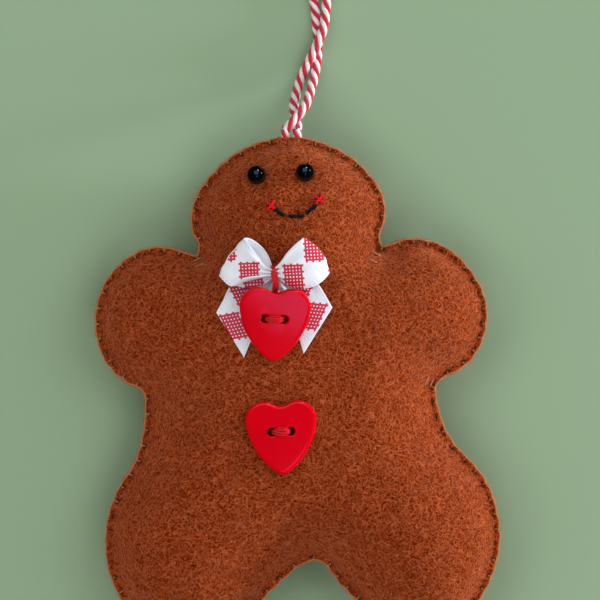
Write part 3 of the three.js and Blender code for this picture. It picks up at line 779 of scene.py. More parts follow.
@dataclass(frozen=True)
class GlossFinish(Finish):
    """Moulded plastic or glass: an even colour, faint clouding and handling marks in its gloss."""

    colour: tuple = (0.5, 0.0, 0.0, 1.0)
    marks: float = 0.08

    def paint(self, wiring: Surface) -> None:
        """Wires the clouding and the marks.

        Args:
            wiring: The material's wiring.
        """
        cloud = wiring.group("soft_mottle", Scale=140.0, Amount=0.16)
        fine = wiring.group("soft_mottle", Scale=1400.0, Amount=1.0)
        wiring.show("Base Color", wiring.shaded(self.colour, cloud.outputs["Level"]))
        marks, least = fine.outputs["Height"], self.roughness - self.marks / 2
        wiring.show("Roughness", wiring.math("MULTIPLY_ADD", marks, self.marks, least))
        self.relief(wiring, fine.outputs["Height"])


class Workbox:
    """Every material of the ornament, made once."""

    def __init__(self) -> None:
        """Builds the shared node groups and then the materials."""
        streaks_group()
        mottle_group()
        self.felt = FeltFinish(
            "brown-felt", 1.0, 0.9, srgb(255, 150, 108), specular=0.0, bump=0.6, depth=0.3,
        ).material()
        self.fuzz = FibreFinish(
            "felt-fibre", 0.9, 0.4, srgb(255, 160, 112), specular=0.05, bump=0.2, depth=0.02,
        ).material()
        self.wadding = YarnFinish(
            "wadding", 1.0, 0.3, bump=0.6, depth=0.3, fibre=0.12,
            colour=srgb(240, 238, 230), shadow=srgb(200, 198, 188),
        ).material()
        self.tan = YarnFinish(
            "tan-thread", 0.7, 0.3, bump=0.5, depth=0.06,
            colour=srgb(190, 120, 66), shadow=srgb(140, 78, 36),
        ).material()
        self.red_ply = YarnFinish(
            "twine-red", 0.75, 0.3, bump=0.6, depth=0.08, fibre=0.07,
            colour=srgb(214, 22, 58), shadow=srgb(150, 6, 30),
        ).material()
        self.white_ply = YarnFinish(
            "twine-white", 0.8, 0.3, bump=0.6, depth=0.08, fibre=0.07,
            colour=srgb(246, 240, 243), shadow=srgb(206, 190, 198),
        ).material()
        self.red_thread = YarnFinish(
            "red-thread", 0.45, specular=0.3, bump=0.15, depth=0.04,
            colour=srgb(214, 16, 26), shadow=srgb(172, 6, 16),
        ).material()
        self.black_thread = YarnFinish(
            "black-thread", 0.7, bump=0.5, depth=0.05,
            colour=srgb(15, 12, 12), shadow=srgb(5, 4, 5),
        ).material()
        self.ribbon = RibbonFinish("checked-ribbon", 0.5, 0.3, bump=0.25, depth=0.05).material()
        self.button = GlossFinish(
            "red-button", 0.12, specular=0.22, bump=0.01, depth=0.03, colour=srgb(205, 0, 20),
        ).material()
        self.bead = GlossFinish(
            "black-bead", 0.07, specular=0.5, bump=0.01, depth=0.02, colour=srgb(6, 7, 9),
        ).material()


# The figure's outline


@dataclass(frozen=True)
class Arc:
    """A piece of the outline: part of a circle."""

    centre: Vector
    radius: float
    start: float
    sweep: float

    def points(self, step: float) -> np.ndarray:
        """Points along the arc.

        Args:
            step: About how far apart they lie.

        Returns:
            Rows of x and y.
        """
        count = max(2, math.ceil(abs(self.sweep) * self.radius / step))
        angles = self.start + self.sweep * np.linspace(0, 1, count + 1)
        spokes = np.column_stack([np.cos(angles), np.sin(angles)])
        return np.array(self.centre) + self.radius * spokes


def arc_between(centre: Vector, radius: float, start: float, end: float, hollow: bool) -> Arc:
    """An arc from one bearing to another, clockwise where the outline is hollow."""
    turn = (start - end if hollow else end - start) % FULL_TURN
    return Arc(centre, radius, start, -turn if hollow else turn)


def bearing(start: Vector, end: Vector) -> float:
    """The direction from one point to another."""
    return math.atan2(end.y - start.y, end.x - start.x)


def meeting(a: Vector, near: float, b: Vector, far: float) -> Vector:
    """The point at given distances from two others.

    Args:
        a, b: The two points.
        near, far: The distances from a and from b.

    Returns:
        The point on the right of the way from a to b.
    """
    way = b - a
    gap = way.length
    along = (gap * gap + near * near - far * far) / (2 * gap)
    across = math.sqrt(near * near - along * along)
    way = way / gap
    return a + way * along + Vector((way.y, -way.x)) * across


@dataclass
class Outline:
    """The cut line of both panels: tangent arcs, even on both sides but for the scissors' slips."""

    head_half_width: float = 20.6
    crown_height: float = CROWN_Y
    cheek: float = 12.6
    notch: float = 1.3
    arm_offset: float = 27.2
    arm_drop: float = 20.6
    arm: float = 14.5
    armpit: float = 2.0
    waist_half_width: float = 30.9
    hip: float = 21.0
    leg_offset: float = 17.6
    leg_drop: float = 67.8
    leg: float = 24.0
    foot: float = 13.7
    inseam_drop: float = 71.05
    crotch: float = 4.6
    step: float = 0.12
    slips: tuple = (
        ((-29.0, -5.5), (0.0, 1.2), 8.0),
        ((-33.0, -37.0), (-0.9, -0.5), 8.0),
        ((-31.0, -45.0), (-0.5, 0.0), 7.0),
        ((31.0, -43.0), (-1.2, 0.0), 8.0),
        ((34.5, -34.5), (0.9, -0.8), 5.0),
        ((39.0, -13.0), (-1.1, -0.7), 8.0),
        ((22.0, -5.5), (0.0, 0.9), 6.0),
        ((0.0, -77.0), (0.4, 0.0), 9.0),
        ((0.5, -73.5), (1.7, 0.3), 4.0),
        ((31.8, -36.8), (-1.2, -0.5), 3.0),
        ((-16.0, 9.0), (0.3, -0.25), 8.0),
    )
    creases: tuple = (
        ((18.9, -7.1), (17.4, -10.1), 0.95),
        ((-19.9, -6.9), (-19.0, -9.3), 0.7),
        ((29.6, -36.8), (27.6, -35.7), 0.6),
    )
    half: np.ndarray = field(init=False)
    edge: np.ndarray = field(init=False)
    outward: np.ndarray = field(init=False)
    coarse: np.ndarray = field(init=False)

    def __post_init__(self) -> None:
        """Walks the arcs once and keeps the whole edge with its outward directions."""
        rows = np.vstack([arc.points(self.step) for arc in self.arcs()])
        self.half = resampled(rows, self.step)
        mirrored = self.half[-2:0:-1] * (-1, 1)
        self.edge = self.hand_cut(np.vstack([self.half, mirrored]))
        along = unit(np.roll(self.edge, -1, axis=0) - np.roll(self.edge, 1, axis=0))
        self.outward = np.column_stack([along[:, 1], -along[:, 0]])
        self.coarse = resampled(np.vstack([self.edge, self.edge[:1]]), 0.5)[:-1]

    def hand_cut(self, points: np.ndarray) -> np.ndarray:
        """Points of the even outline as the scissors left them.

        Args:
            points: Rows of x and y.

        Returns:
            The points as moved.
        """
        moved = points.copy()
        for place, move, reach in self.slips:
            near = np.exp(-((points - place) ** 2).sum(1) / (2 * reach**2))
            moved += near[:, None] * move
        return moved

    def arcs(self) -> list[Arc]:
        """The right half, from the crotch round the leg and arm up to the crown.

        Returns:
            Its arcs in order.
        """
        slope = math.radians(45)
        down = Vector((math.cos(slope), -math.sin(slope)))
        inward = Vector((math.sin(slope), math.cos(slope)))
        crotch = Vector((0, -self.inseam_drop - self.crotch / math.cos(slope)))
        leg = Vector((self.leg_offset, -self.leg_drop))
        shift = self.foot - (leg - Vector((0, -self.inseam_drop))).dot(inward)
        foot = leg + inward * shift + down * math.sqrt((self.leg - self.foot) ** 2 - shift**2)
        hip = Vector((self.waist_half_width + self.hip, 0))
        hip.y = leg.y + math.sqrt((self.leg + self.hip) ** 2 - (hip.x - leg.x) ** 2)
        arm = Vector((self.arm_offset, -self.arm_drop))
        pit = Vector((self.waist_half_width + self.armpit, 0))
        pit.y = arm.y - math.sqrt((self.arm + self.armpit) ** 2 - (pit.x - arm.x) ** 2)
        side = self.head_half_width - self.cheek
        rise = self.crown_height - self.cheek
        cheek = Vector((side, 0))
        crown = Vector((0, -(side**2 - rise**2) / (2 * rise)))
        notch = meeting(arm, self.arm + self.notch, cheek, self.cheek + self.notch)
        quarter = math.pi / 2
        return [
            arc_between(crotch, self.crotch, quarter, quarter - slope, True),
            arc_between(foot, self.foot, -quarter - slope, bearing(leg, foot), False),
            arc_between(leg, self.leg, bearing(leg, foot), bearing(leg, hip), False),
            arc_between(hip, self.hip, bearing(hip, leg), math.pi, True),
            arc_between(pit, self.armpit, math.pi, bearing(pit, arm), True),
            arc_between(arm, self.arm, bearing(arm, pit), bearing(arm, notch), False),
            arc_between(notch, self.notch, bearing(notch, arm), bearing(notch, cheek), True),
            arc_between(cheek, self.cheek, bearing(cheek, notch), bearing(crown, cheek), False),
            arc_between(crown, self.crown_height - crown.y, bearing(crown, cheek), quarter, False),
        ]

    def nearest(self, points: np.ndarray) -> tuple[np.ndarray, np.ndarray]:
        """How far inside the cut line points lie, and where the nearest edge point is.

        Args:
            points: Rows of x and y.

        Returns:
            Depths, below nought outside, and indices into the edge.
        """
        depth = np.empty(len(points))
        index = np.empty(len(points), int)
        for part in slices(len(points)):
            away = ((points[part][:, None, :] - self.edge[None, :, :]) ** 2).sum(2)
            near = away.argmin(1)
            inside = ((self.edge[near] - points[part]) * self.outward[near]).sum(1)
            depth[part] = np.sign(inside) * np.sqrt(away.min(1))
            index[part] = near
        return depth, index

    def soft_depth(self, points: np.ndarray) -> np.ndarray:
        """How deep inside the figure points lie, softened so that no ridges form between limbs.

        Args:
            points: Rows of x and y.

        Returns:
            Their depths.
        """
        pull = np.zeros(len(points))
        gap = length_of(np.vstack([self.coarse, self.coarse[:1]])) / len(self.coarse)
        for part in slices(len(points)):
            away = np.sqrt(((points[part][:, None, :] - self.coarse[None, :, :]) ** 2).sum(2))
            pull[part] = (gap / np.maximum(away, 0.02) ** 3).sum(1)
        return np.sqrt(2 / pull)

    def stations(self, pitch: float) -> list[tuple[np.ndarray, np.ndarray]]:
        """Evenly spaced stitch places round the edge, each with its outward direction.

        Args:
            pitch: Distance wanted between stitches.

        Returns:
            Places from the crotch round to the crotch again, those at the twine left out.
        """
        count = round(length_of(self.half) / pitch)
        places = np.linspace(0, len(self.half) - 1, count + 1).round().astype(int)
        right = [(self.edge[i], self.outward[i]) for i in places]
        left = [(self.edge[-i], self.outward[-i]) for i in places[-2:0:-1]]
        return right[: count - 1] + left


# The felt body


@dataclass
class FeltBody:
    """Front and back felt, swollen by the filling between them."""

    outline: Outline
    felt: float = FELT_THICKNESS
    flange: float = 1.8
    front_swell: float = 9.2
    back_swell: float = 9.2
    reach: float = 18.5
    roundness: float = 0.8
    pitch: float = 0.8
    rim: tuple = (1.3, 0.95, 0.55, 0.2, 0.0)
    wad_pitch: float = 2.2
    wad_rim: tuple = (4.0, 3.3)
    lumps: tuple = ((0.55, 0.075, 0.0), (0.16, 0.24, 5.0))
    pull: float = 0.3
    pull_size: tuple = (0.85, 1.7)
    pit_size: tuple = (0.42, 0.62)
    pit_depth: float = 0.5
    crease_width: float = 0.5
    edge_drop: float = 0.5
    edge_round: float = 0.6
    scallop: float = 0.16
    scallop_width: float = 0.75
    scallop_depth: float = 1.6
    stitch_pitch: float = STITCH_PITCH
    stitch_leg: float = STITCH_LEG
    sim_scale: float = 0.01
    sim_frames: int = 20
    sim_pressure: float = 4.0
    sim_mass: float = 0.002
    sim_slack: float = -0.015
    sim_bending: float = 0.5
    sim_reach: float = 0.45
    seed: Vector = field(default_factory=lambda: Vector((3.7, 1.9, 0.0)))
    front: Piece = field(init=False)
    back: Piece = field(init=False)

    def swell(self, points: np.ndarray) -> np.ndarray:
        """Share of the full swell, from nought at the flange to one in the middle."""
        share = np.clip((self.outline.soft_depth(points) - self.flange) / self.reach, 0, 1)
        return (1 - (1 - share) ** 2) ** self.roundness

    def cut(self, pitch: float, rim: Sequence[float]) -> Shape:
        """A flat panel: a grid trimmed to the outline and drawn out to it in narrow loops.

        Args:
            pitch: Size of the grid's cells.
            rim: Depths of the loops along the edge, the first being the grid's own border.

        Returns:
            The flat shape.
        """
        low, high = self.outline.edge.min(0) - 1, self.outline.edge.max(0) + 1
        shape = bmesh.new()
        place = Matrix.Translation((*(low + high) / 2, 0)) @ Matrix.Diagonal((*(high - low), 1, 1))
        columns, rows = np.ceil((high - low) / pitch).astype(int)
        bmesh.ops.create_grid(
            shape, x_segments=int(columns), y_segments=int(rows), size=0.5, matrix=place)
        depth, _ = self.outline.nearest(np.array([v.co.xy for v in shape.verts]))
        outside = [v for v, d in zip(shape.verts, depth) if d < rim[0] + 0.15 * pitch]
        bmesh.ops.delete(shape, geom=outside, context="VERTS")
        self.settle(shape, rim[0])
        bmesh.ops.remove_doubles(shape, verts=shape.verts, dist=0.35 * pitch)
        inner = [v for v in shape.verts if not v.is_boundary]
        for _ in range(6):
            bmesh.ops.smooth_vert(shape, verts=inner, factor=0.5, use_axis_x=True, use_axis_y=True)
        for inset in rim[1:]:
            border = [e for e in shape.edges if e.is_boundary]
            bmesh.ops.extrude_edge_only(shape, edges=border)
            self.settle(shape, inset)
        in_order(shape, lambda v: v.co[:])
        return shape

    def settle(self, shape: Shape, inset: float) -> None:
        """Moves a shape's border to one depth inside the cut line.

        Args:
            shape: The flat shape.
            inset: The depth.
        """
        border = [v for v in shape.verts if v.is_boundary]
        _, index = self.outline.nearest(np.array([v.co.xy for v in border]))
        for vert, k in zip(border, index):
            vert.co.xy = self.outline.edge[k] - inset * self.outline.outward[k]

    def relief(
        self, points: np.ndarray, share: np.ndarray, face: Face
    ) -> tuple[np.ndarray, np.ndarray]:
        """Unevenness of the stuffed felt: soft lumps, and the pull of the edge stitches.

        Args:
            points: Rows of x and y.
            share: The swell at each point.
            face: The panel.

        Returns:
            Heights to add outwards, and how much each point lies in a needle pit or crease, painted
            there as shade.
        """
        shift = self.seed * face.value
        lumps = np.array([
            sum(
                high * noise.noise(Vector((x, y, layer)) * fine + shift)
                for high, fine, layer in self.lumps
            )
            for x, y in points
        ]) * np.clip(share * 3, 0, 1)
        pits = np.zeros(len(points))
        pull = np.zeros(len(points))
        for at, out in self.outline.stations(self.stitch_pitch):
            away = points - (at - self.stitch_leg * out)
            near = np.abs(away).max(1) < 9
            inward = -(away[near] * out).sum(1)
            aside = (away[near] * (-out[1], out[0])).sum(1)
            width, run = self.pull_size
            pull[near] += (
                self.pull * np.exp(-((aside / width) ** 2)) * np.exp(-np.abs(inward - 0.2) / run))
            long, wide = self.pit_size
            pits[near] += np.exp(-((inward / long) ** 2) - (aside / wide) ** 2)
        drawn_in = np.zeros(len(points))
        for start, end, deep in self.outline.creases:
            way = np.subtract(end, start)
            along = (points - start) @ way / (way @ way)
            across = ((points - start) @ (-way[1], way[0])) / np.hypot(*way)
            groove = deep * np.exp(-((across / self.crease_width) ** 2))
            drawn_in += groove * np.clip(1.2 - along, 0, 1) * np.clip(along + 1, 0, 1)
        # The second value darkens the felt's colour: painted shade in the needle pits and creases.
        return lumps - pull - self.pit_depth * pits - drawn_in, np.clip(pits + 0.8 * drawn_in, 0, 1)

    def pressed(self, shape: Shape, face: Face, depth: np.ndarray) -> np.ndarray:
        """Runs a panel as cloth, sewn down along its seam, with the filling pressing from inside.

        Args:
            shape: The panel's outer face, whose points stay where they are.
            face: Which panel.
            depth: How far inside the cut line each point lies.
        """
        start = np.array([v.co for v in shape.verts])
        sheet = shape.copy()
        bmesh.ops.scale(sheet, verts=sheet.verts, vec=(self.sim_scale,) * 3)
        if face is Face.BACK:
            bmesh.ops.reverse_faces(sheet, faces=sheet.faces)
        mesh = bpy.data.meshes.new("pressed")
        sheet.to_mesh(mesh)
        sheet.free()
        cloth = bpy.data.objects.new("pressed", mesh)
        scene = bpy.context.scene
        scene.collection.objects.link(cloth)
        seam = cloth.vertex_groups.new(name="seam")
        seam.add([int(k) for k in np.flatnonzero(depth < self.flange)], 1.0, "REPLACE")
        modifier = cloth.modifiers.new("cloth", "CLOTH")
        modifier.point_cache.frame_end = self.sim_frames
        modifier.collision_settings.use_collision = False
        settings = modifier.settings
        settings.quality = 4
        settings.mass = self.sim_mass
        settings.vertex_group_mass = "seam"
        settings.use_pressure = True
        settings.uniform_pressure_force = self.sim_pressure
        settings.shrink_min = self.sim_slack
        settings.bending_stiffness = self.sim_bending
        settings.effector_weights.gravity = 0.0
        for number in range(1, self.sim_frames + 1):
            scene.frame_set(number)
        graph = bpy.context.evaluated_depsgraph_get()
        shown = cloth.evaluated_get(graph).to_mesh()
        end = np.empty(3 * len(start))
        shown.vertices.foreach_get("co", end)
        cloth.evaluated_get(graph).to_mesh_clear()
        scene.frame_set(1)
        bpy.data.objects.remove(cloth)
        bpy.data.meshes.remove(mesh)
        moved = end.reshape(-1, 3) / self.sim_scale - start
        far = np.linalg.norm(moved, axis=1)
        log.info(
            "%s felt pressed out by %.2f mm on average, %.2f at most",
            face.name, far.mean(), far.max())
        return moved * np.minimum(1, self.sim_reach / np.maximum(far, 1e-9))[:, None]

    def panel(self, face: Face) -> Shape:
        """A stuffed panel, closed and as thick as the felt.

        Args:
            face: Which panel.

        Returns:
            The shape.
        """
        shape = self.cut(self.pitch, self.rim)
        points = np.array([v.co.xy for v in shape.verts])
        share = self.swell(points)
        lift, pits = self.relief(points, share, face)
        depth, index = self.outline.nearest(points)
        lift -= self.edge_drop * np.clip(1 - depth / self.edge_round, 0, 1) ** 2
        drawn = np.zeros(len(points))
        for at, out in self.outline.stations(self.stitch_pitch):
            aside = ((points - at) * (-out[1], out[0])).sum(1)
            near = np.hypot(*(points - at).T) < 3
            drawn[near] += self.scallop * np.exp(-((aside[near] / self.scallop_width) ** 2))
        drawn *= np.clip(1 - depth / self.scallop_depth, 0, 1)
        for vert, inset, k in zip(shape.verts, drawn, index):
            vert.co.xy -= Vector(self.outline.outward[k]) * inset
        # Painted shade for the needle pits and creases, kept on the outer face only.
        pit = shape.verts.layers.float.new("stitch_pit")
        laid = shape.verts.layers.float_vector.new("laid")
        if face is Face.FRONT:
            height = SEAM_Z + self.felt + self.front_swell * share + lift
        else:
            height = np.maximum(SEAM_Z - self.felt - self.back_swell * share - lift, 0.02)
        for vert, z, dark in zip(shape.verts, height, pits):
            vert.co.z = z
            vert[pit] = 0.95 * dark
            vert[laid] = vert.co
        shape.verts.index_update()
        moved = self.pressed(shape, face, depth)
        if face is Face.BACK:
            moved[:, 2] = np.maximum(moved[:, 2], 0.02 - height)
        for vert, step in zip(shape.verts, moved):
            vert.co += Vector(step)
        made = bmesh.ops.extrude_face_region(shape, geom=shape.faces[:])["geom"]
        inner = [v for v in made if isinstance(v, Vert)]
        through = Vector((0, 0, -face.value * self.felt))
        bmesh.ops.translate(shape, verts=inner, vec=through)
        for vert in inner:
            vert[pit] = 0.0
            vert[laid] = vert[laid] + through
        bmesh.ops.recalc_face_normals(shape, faces=shape.faces)
        in_order(shape, lambda v: v[laid][:])
        return shape

    def wad(self) -> Shape:
        """The filling: the room between the panels, a little uneven.

        Returns:
            The closed shape.
        """
        shape = self.cut(self.wad_pitch, self.wad_rim)
        made = bmesh.ops.extrude_face_region(shape, geom=shape.faces[:])["geom"]
        upper = {v for v in made if isinstance(v, Vert)}
        share = self.swell(np.array([v.co.xy for v in shape.verts]))
        for vert, s in zip(shape.verts, share):
            uneven = 0.35 * noise.noise(vert.co * 0.4) - 0.95
            if vert in upper:
                vert.co.z = SEAM_Z + self.front_swell * s + uneven * s
            else:
                vert.co.z = SEAM_Z - min(self.back_swell * s, SEAM_Z - self.felt) - uneven * s
        bmesh.ops.recalc_face_normals(shape, faces=shape.faces)
        return shape

    def build(self, box: Workbox) -> None:
        """Args:
            box: The materials.
        """
        for face in Face:
            side = face.name.lower()
            piece = subdivided(piece_of(self.panel(face), f"felt_{side}", box.felt), 1)
            dress(piece, Body.FIGURE, Slot.FELT, f"{side}_felt")
            setattr(self, side, piece)
        wadding = subdivided(piece_of(self.wad(), "wadding", box.wadding), 1)
        dress(wadding, Body.FIGURE, Slot.FIBRE, "filling")


def dress(piece: Piece, body: Body, slot: Slot, *nodes: str) -> None:
    """Rides a piece on its body and hides the solids that it stands for.

    Args:
        piece: The finished piece.
        body: The body that carries it.
        slot: The record's finish; not used.
        nodes: Solids that the piece replaces.
    """
    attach(piece, body.value)
    if nodes:
        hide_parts(*nodes)
    log.info("%s: %d vertices", piece.name, len(piece.data.vertices))


@dataclass(frozen=True)
class Thread:
    """Sewing thread: twisted plies of one colour, sized as shares of its thickness."""

    thickness: float
    lay: float
    plies: int = 2
    spread: float = 0.24
    ply: float = 0.56

    def sew(
        self, name: str, lines: Sequence[np.ndarray], material: Material, slot: Slot, node: str,
        phases: Sequence[float] = (), round_to: int = 1,
    ) -> None:
        """Lays the thread along some lines and dresses it as one piece of the figure.

        Args:
            name: The piece's name.
            lines: The centrelines of its stretches.
            material: Its material.
            slot: The record's finish.
            node: The solid that it replaces.
            phases: Turn of the plies at the start of each line, in radians, or none for nought.
            round_to: How round a ply is.
        """
        strands = [
            (strand, 0)
            for line, phase in zip(lines, phases or [0.0] * len(lines))
            for strand in plies_of(line, self.plies, self.spread * self.thickness, self.lay, phase)
        ]
        piece = strands_piece(name, strands, self.ply * self.thickness, material, round_to=round_to)
        dress(piece, Body.FIGURE, slot, node)


class Ground:
    """The front felt's outer face, for whatever is sewn or laid on it."""

    def __init__(self, felt: Piece) -> None:
        """Keeps a search tree of the felt as it shows."""
        graph = bpy.context.evaluated_depsgraph_get()
        self.tree = BVHTree.FromObject(felt, graph)

    def top(self, x: float, y: float) -> float:
        """Height of the felt at a place, in millimetres."""
        start = Vector(placed(np.array((x, y, 200.0))))
        return self.tree.ray_cast(start, Vector((0, 0, -1)))[0].z / MM


@dataclass
class FeltFuzz:
    """Loose fibres that stand on the felt and catch the light."""

    count: int
    seed: int
    shortest: float = 0.5
    longest: float = 1.5
    thickness: float = 0.07
    segments: int = 3
    curl: float = 3.2
    lift: float = 0.05
    shades: tuple = (0.0, 0.7)

    def fibre(self) -> tuple[np.ndarray, list[tuple[int, ...]]]:
        """One straight tapered fibre, standing from nought to one.

        Returns:
            Its points and its faces.
        """
        shape = bmesh.new()
        bmesh.ops.create_cone(
            shape, cap_ends=True, segments=3, depth=1, radius1=self.thickness / 2,
            radius2=self.thickness / 5, matrix=Matrix.Translation((0, 0, 0.5)),
        )
        uprights = [e for e in shape.edges if abs(e.verts[0].co.z - e.verts[1].co.z) > 0.5]
        bmesh.ops.subdivide_edges(shape, edges=uprights, cuts=self.segments - 1)
        shape.verts.index_update()
        points = np.array([v.co for v in shape.verts])
        faces = [tuple(v.index for v in f.verts) for f in shape.faces]
        shape.free()
        return points, faces

    def roots(self, felt: Piece, draw: np.random.Generator) -> tuple[np.ndarray, np.ndarray]:
        """Places spread evenly over the outer face, with its normals.

        The spread goes by the felt as laid, before it was pressed out.

        Args:
            felt: The panel that the fibres stand on.
            draw: Source of the seeded spread.

        Returns:
            Points and unit normals, in metres.
        """
        graph = bpy.context.evaluated_depsgraph_get()
        mesh = felt.evaluated_get(graph).to_mesh()
        corners = np.empty(len(mesh.loops), np.intc)
        mesh.loops.foreach_get("vertex_index", corners)
        quads = corners.reshape(-1, 4)
        laid = np.empty(3 * len(mesh.vertices), np.float32)
        mesh.attributes["laid"].data.foreach_get("vector", laid)
        cells = laid.reshape(-1, 3)[quads].astype(float)
        facing = np.cross(cells[:, 2] - cells[:, 0], cells[:, 3] - cells[:, 1])
        areas = np.linalg.norm(facing, axis=1)
        upright = facing[:, 2] / np.maximum(areas, 1e-12)
        outer = (cells[..., 2].mean(1) - SEAM_Z) * upright > 0
        faces = np.flatnonzero(outer | (np.abs(upright) < 0.4))
        chosen = faces[draw.choice(len(faces), self.count, p=areas[faces] / areas[faces].sum())]
        weights = draw.dirichlet(np.ones(4), self.count)
        shown = np.empty(3 * len(mesh.vertices), np.float32)
        mesh.vertices.foreach_get("co", shown)
        points = (weights[..., None] * shown.reshape(-1, 3)[quads[chosen]]).sum(1)
        normals = np.array([mesh.polygons[k].normal[:] for k in chosen])
        felt.evaluated_get(graph).to_mesh_clear()
        return points, normals

    def build(self, felt: Piece, name: str, box: Workbox) -> None:
        """Sets the fibres on a panel.

        Args:
            felt: The panel.
            name: The piece's name.
            box: The materials.
        """
        draw = np.random.default_rng(self.seed)
        base, faces = self.fibre()
        roots, normals = self.roots(felt, draw)
        count = len(roots)
        length = draw.uniform(self.shortest, self.longest, count) * MM
        lean = draw.normal(size=(count, 3))
        lean = unit(lean - normals * (lean * normals).sum(1)[:, None])
        across = np.cross(normals, lean)
        curl = draw.uniform(0.2, self.curl, count) * draw.choice((-1, 1), count)
        rise = draw.gamma(1.6, self.lift, count)
        t = base[:, 2]
        bend = curl[:, None] * t
        ahead = (length / curl)[:, None] * np.sin(bend)
        aside = (length / curl)[:, None] * (1 - np.cos(bend))
        up = length[:, None] * (rise[:, None] * np.sin(2.2 * t)) - 0.00003
        points = (
            roots[:, None, :]
            + ahead[..., None] * lean[:, None, :]
            + (aside + base[:, 0] * MM)[..., None] * across[:, None, :]
            + (up + base[:, 1] * MM)[..., None] * normals[:, None, :]
        )
        points[..., 2] = np.maximum(points[..., 2], 0.00001)
        size = len(base)
        every = [tuple(i + k * size for i in f) for k in range(count) for f in faces]
        mesh = bpy.data.meshes.new(name)
        mesh.from_pydata(points.reshape(-1, 3), [], every)
        shades = np.repeat(draw.uniform(*self.shades, count), size).astype(np.float32)
        mesh.attributes.new("shade", "FLOAT", "POINT").data.foreach_set("value", shades)
        dress(new_object(mesh, name, [box.fuzz]), Body.FIGURE, Slot.FELT)


@dataclass
class FeltCurls(FeltFuzz):
    """Longer curled fibres that lie closer to the felt."""

    shortest: float = 1.4
    longest: float = 3.2
    thickness: float = 0.08
    segments: int = 6
    curl: float = 5.0
    lift: float = 0.03
    shades: tuple = (0.2, 1.0)


@dataclass
class EdgeStitching:
    """Blanket stitch: thread along the edge, with a leg over each face that dives into the felt."""

    outline: Outline
    pitch: float = STITCH_PITCH
    leg: float = STITCH_LEG
    thread: Thread = Thread(0.4, 1.3, ply=0.58)
    felt: float = FELT_THICKNESS
    notches: tuple = ((-20.0, -7.2), (20.0, -7.2))
    notch_reach: float = 5.0
    tuck_shares: tuple = (0.5, 1.0)
    tuck_reach: float = 0.9
    tuck_course: tuple = ((-1, -0.9), (-0.85, 0.05), (0, 0.12), (0.85, 0.05), (1, -0.9))
    sway: float = 0.12
    seed: int = 31

    def between(self, start: np.ndarray, end: np.ndarray) -> tuple[np.ndarray, int]:
        """The place on the edge half-way between two stitches, and its index."""
        _, index = self.outline.nearest((start[None, :] + end[None, :]) / 2)
        return self.outline.edge[index[0]], int(index[0])

    def tucks(self, ground: Ground) -> list[list[Point]]:
        """Stitches across the creases, where the felt is drawn in.

        Args:
            ground: The front felt.

        Returns:
            The points of each stitch.
        """
        lines = []
        for start, end, deep in self.outline.creases:
            way = Vector(end) - Vector(start)
            across = Vector((-way.y, way.x)).normalized()
            for share in self.tuck_shares:
                middle = Vector(start) + share * way
                level = ground.top(*middle) + deep * (1.1 - share)
                lines.append([
                    (*(middle + step * self.tuck_reach * across), level + lift)
                    for step, lift in self.tuck_course
                ])
        return lines

    def build(self, ground: Ground, box: Workbox) -> None:
        """Makes the runs and legs of the stitch.

        Args:
            ground: The front felt.
            box: The materials.
        """
        draw = np.random.default_rng(self.seed)
        lines = self.tucks(ground)
        stations = self.outline.stations(self.pitch)
        order = stations[len(stations) // 2:] + stations[: len(stations) // 2]
        knots = []
        for (at, out), (after, _) in zip(order, order[1:] + order[-1:]):
            sway = draw.normal(0, self.sway)
            reach = self.leg + draw.uniform(-0.1, 0.15)
            proud = np.clip(0.5 + 1.1 * noise.noise(Vector((*at, 0)) * 0.13), 0, 1)
            if min(np.hypot(*(at - notch)) for notch in self.notches) < self.notch_reach:
                proud = 1.0
            height = 0.8 + 0.55 * proud
            corner = at - (0.22 + 0.2 * proud) * out
            knots.append((*corner, SEAM_Z + height))
            halfway, index = self.between(at, after)
            inset = (0.05 + 0.2 * proud) * self.outline.outward[index]
            knots.append((*(halfway - inset), SEAM_Z + height + 0.1))
            side = np.array((-out[1], out[0]))
            for face in Face:
                top = SEAM_Z + face.value * (self.felt - 0.45 + 0.25 * proud)
                foot = at - reach * out + sway * side
                lines.append([
                    (*corner, SEAM_Z + height),
                    (*(at - 0.35 * out), top - face.value * 0.1),
                    (*(at - 0.6 * out + 0.3 * sway * side), top - face.value * 0.15),
                    (*(at - 0.85 * reach * out + 0.8 * sway * side), top - face.value * 0.08),
                    (*(foot - 0.12 * out), top - face.value * 0.35),
                    (*(foot - 0.2 * out), top - face.value * 1.0),
                ])
        knots.pop()
        lines.append(knots)
        fine = [smooth_line(line, 0.3) for line in lines]
        self.thread.sew("seam_stitches", fine, box.tan, Slot.TAN_THREAD, "edge_stitching")


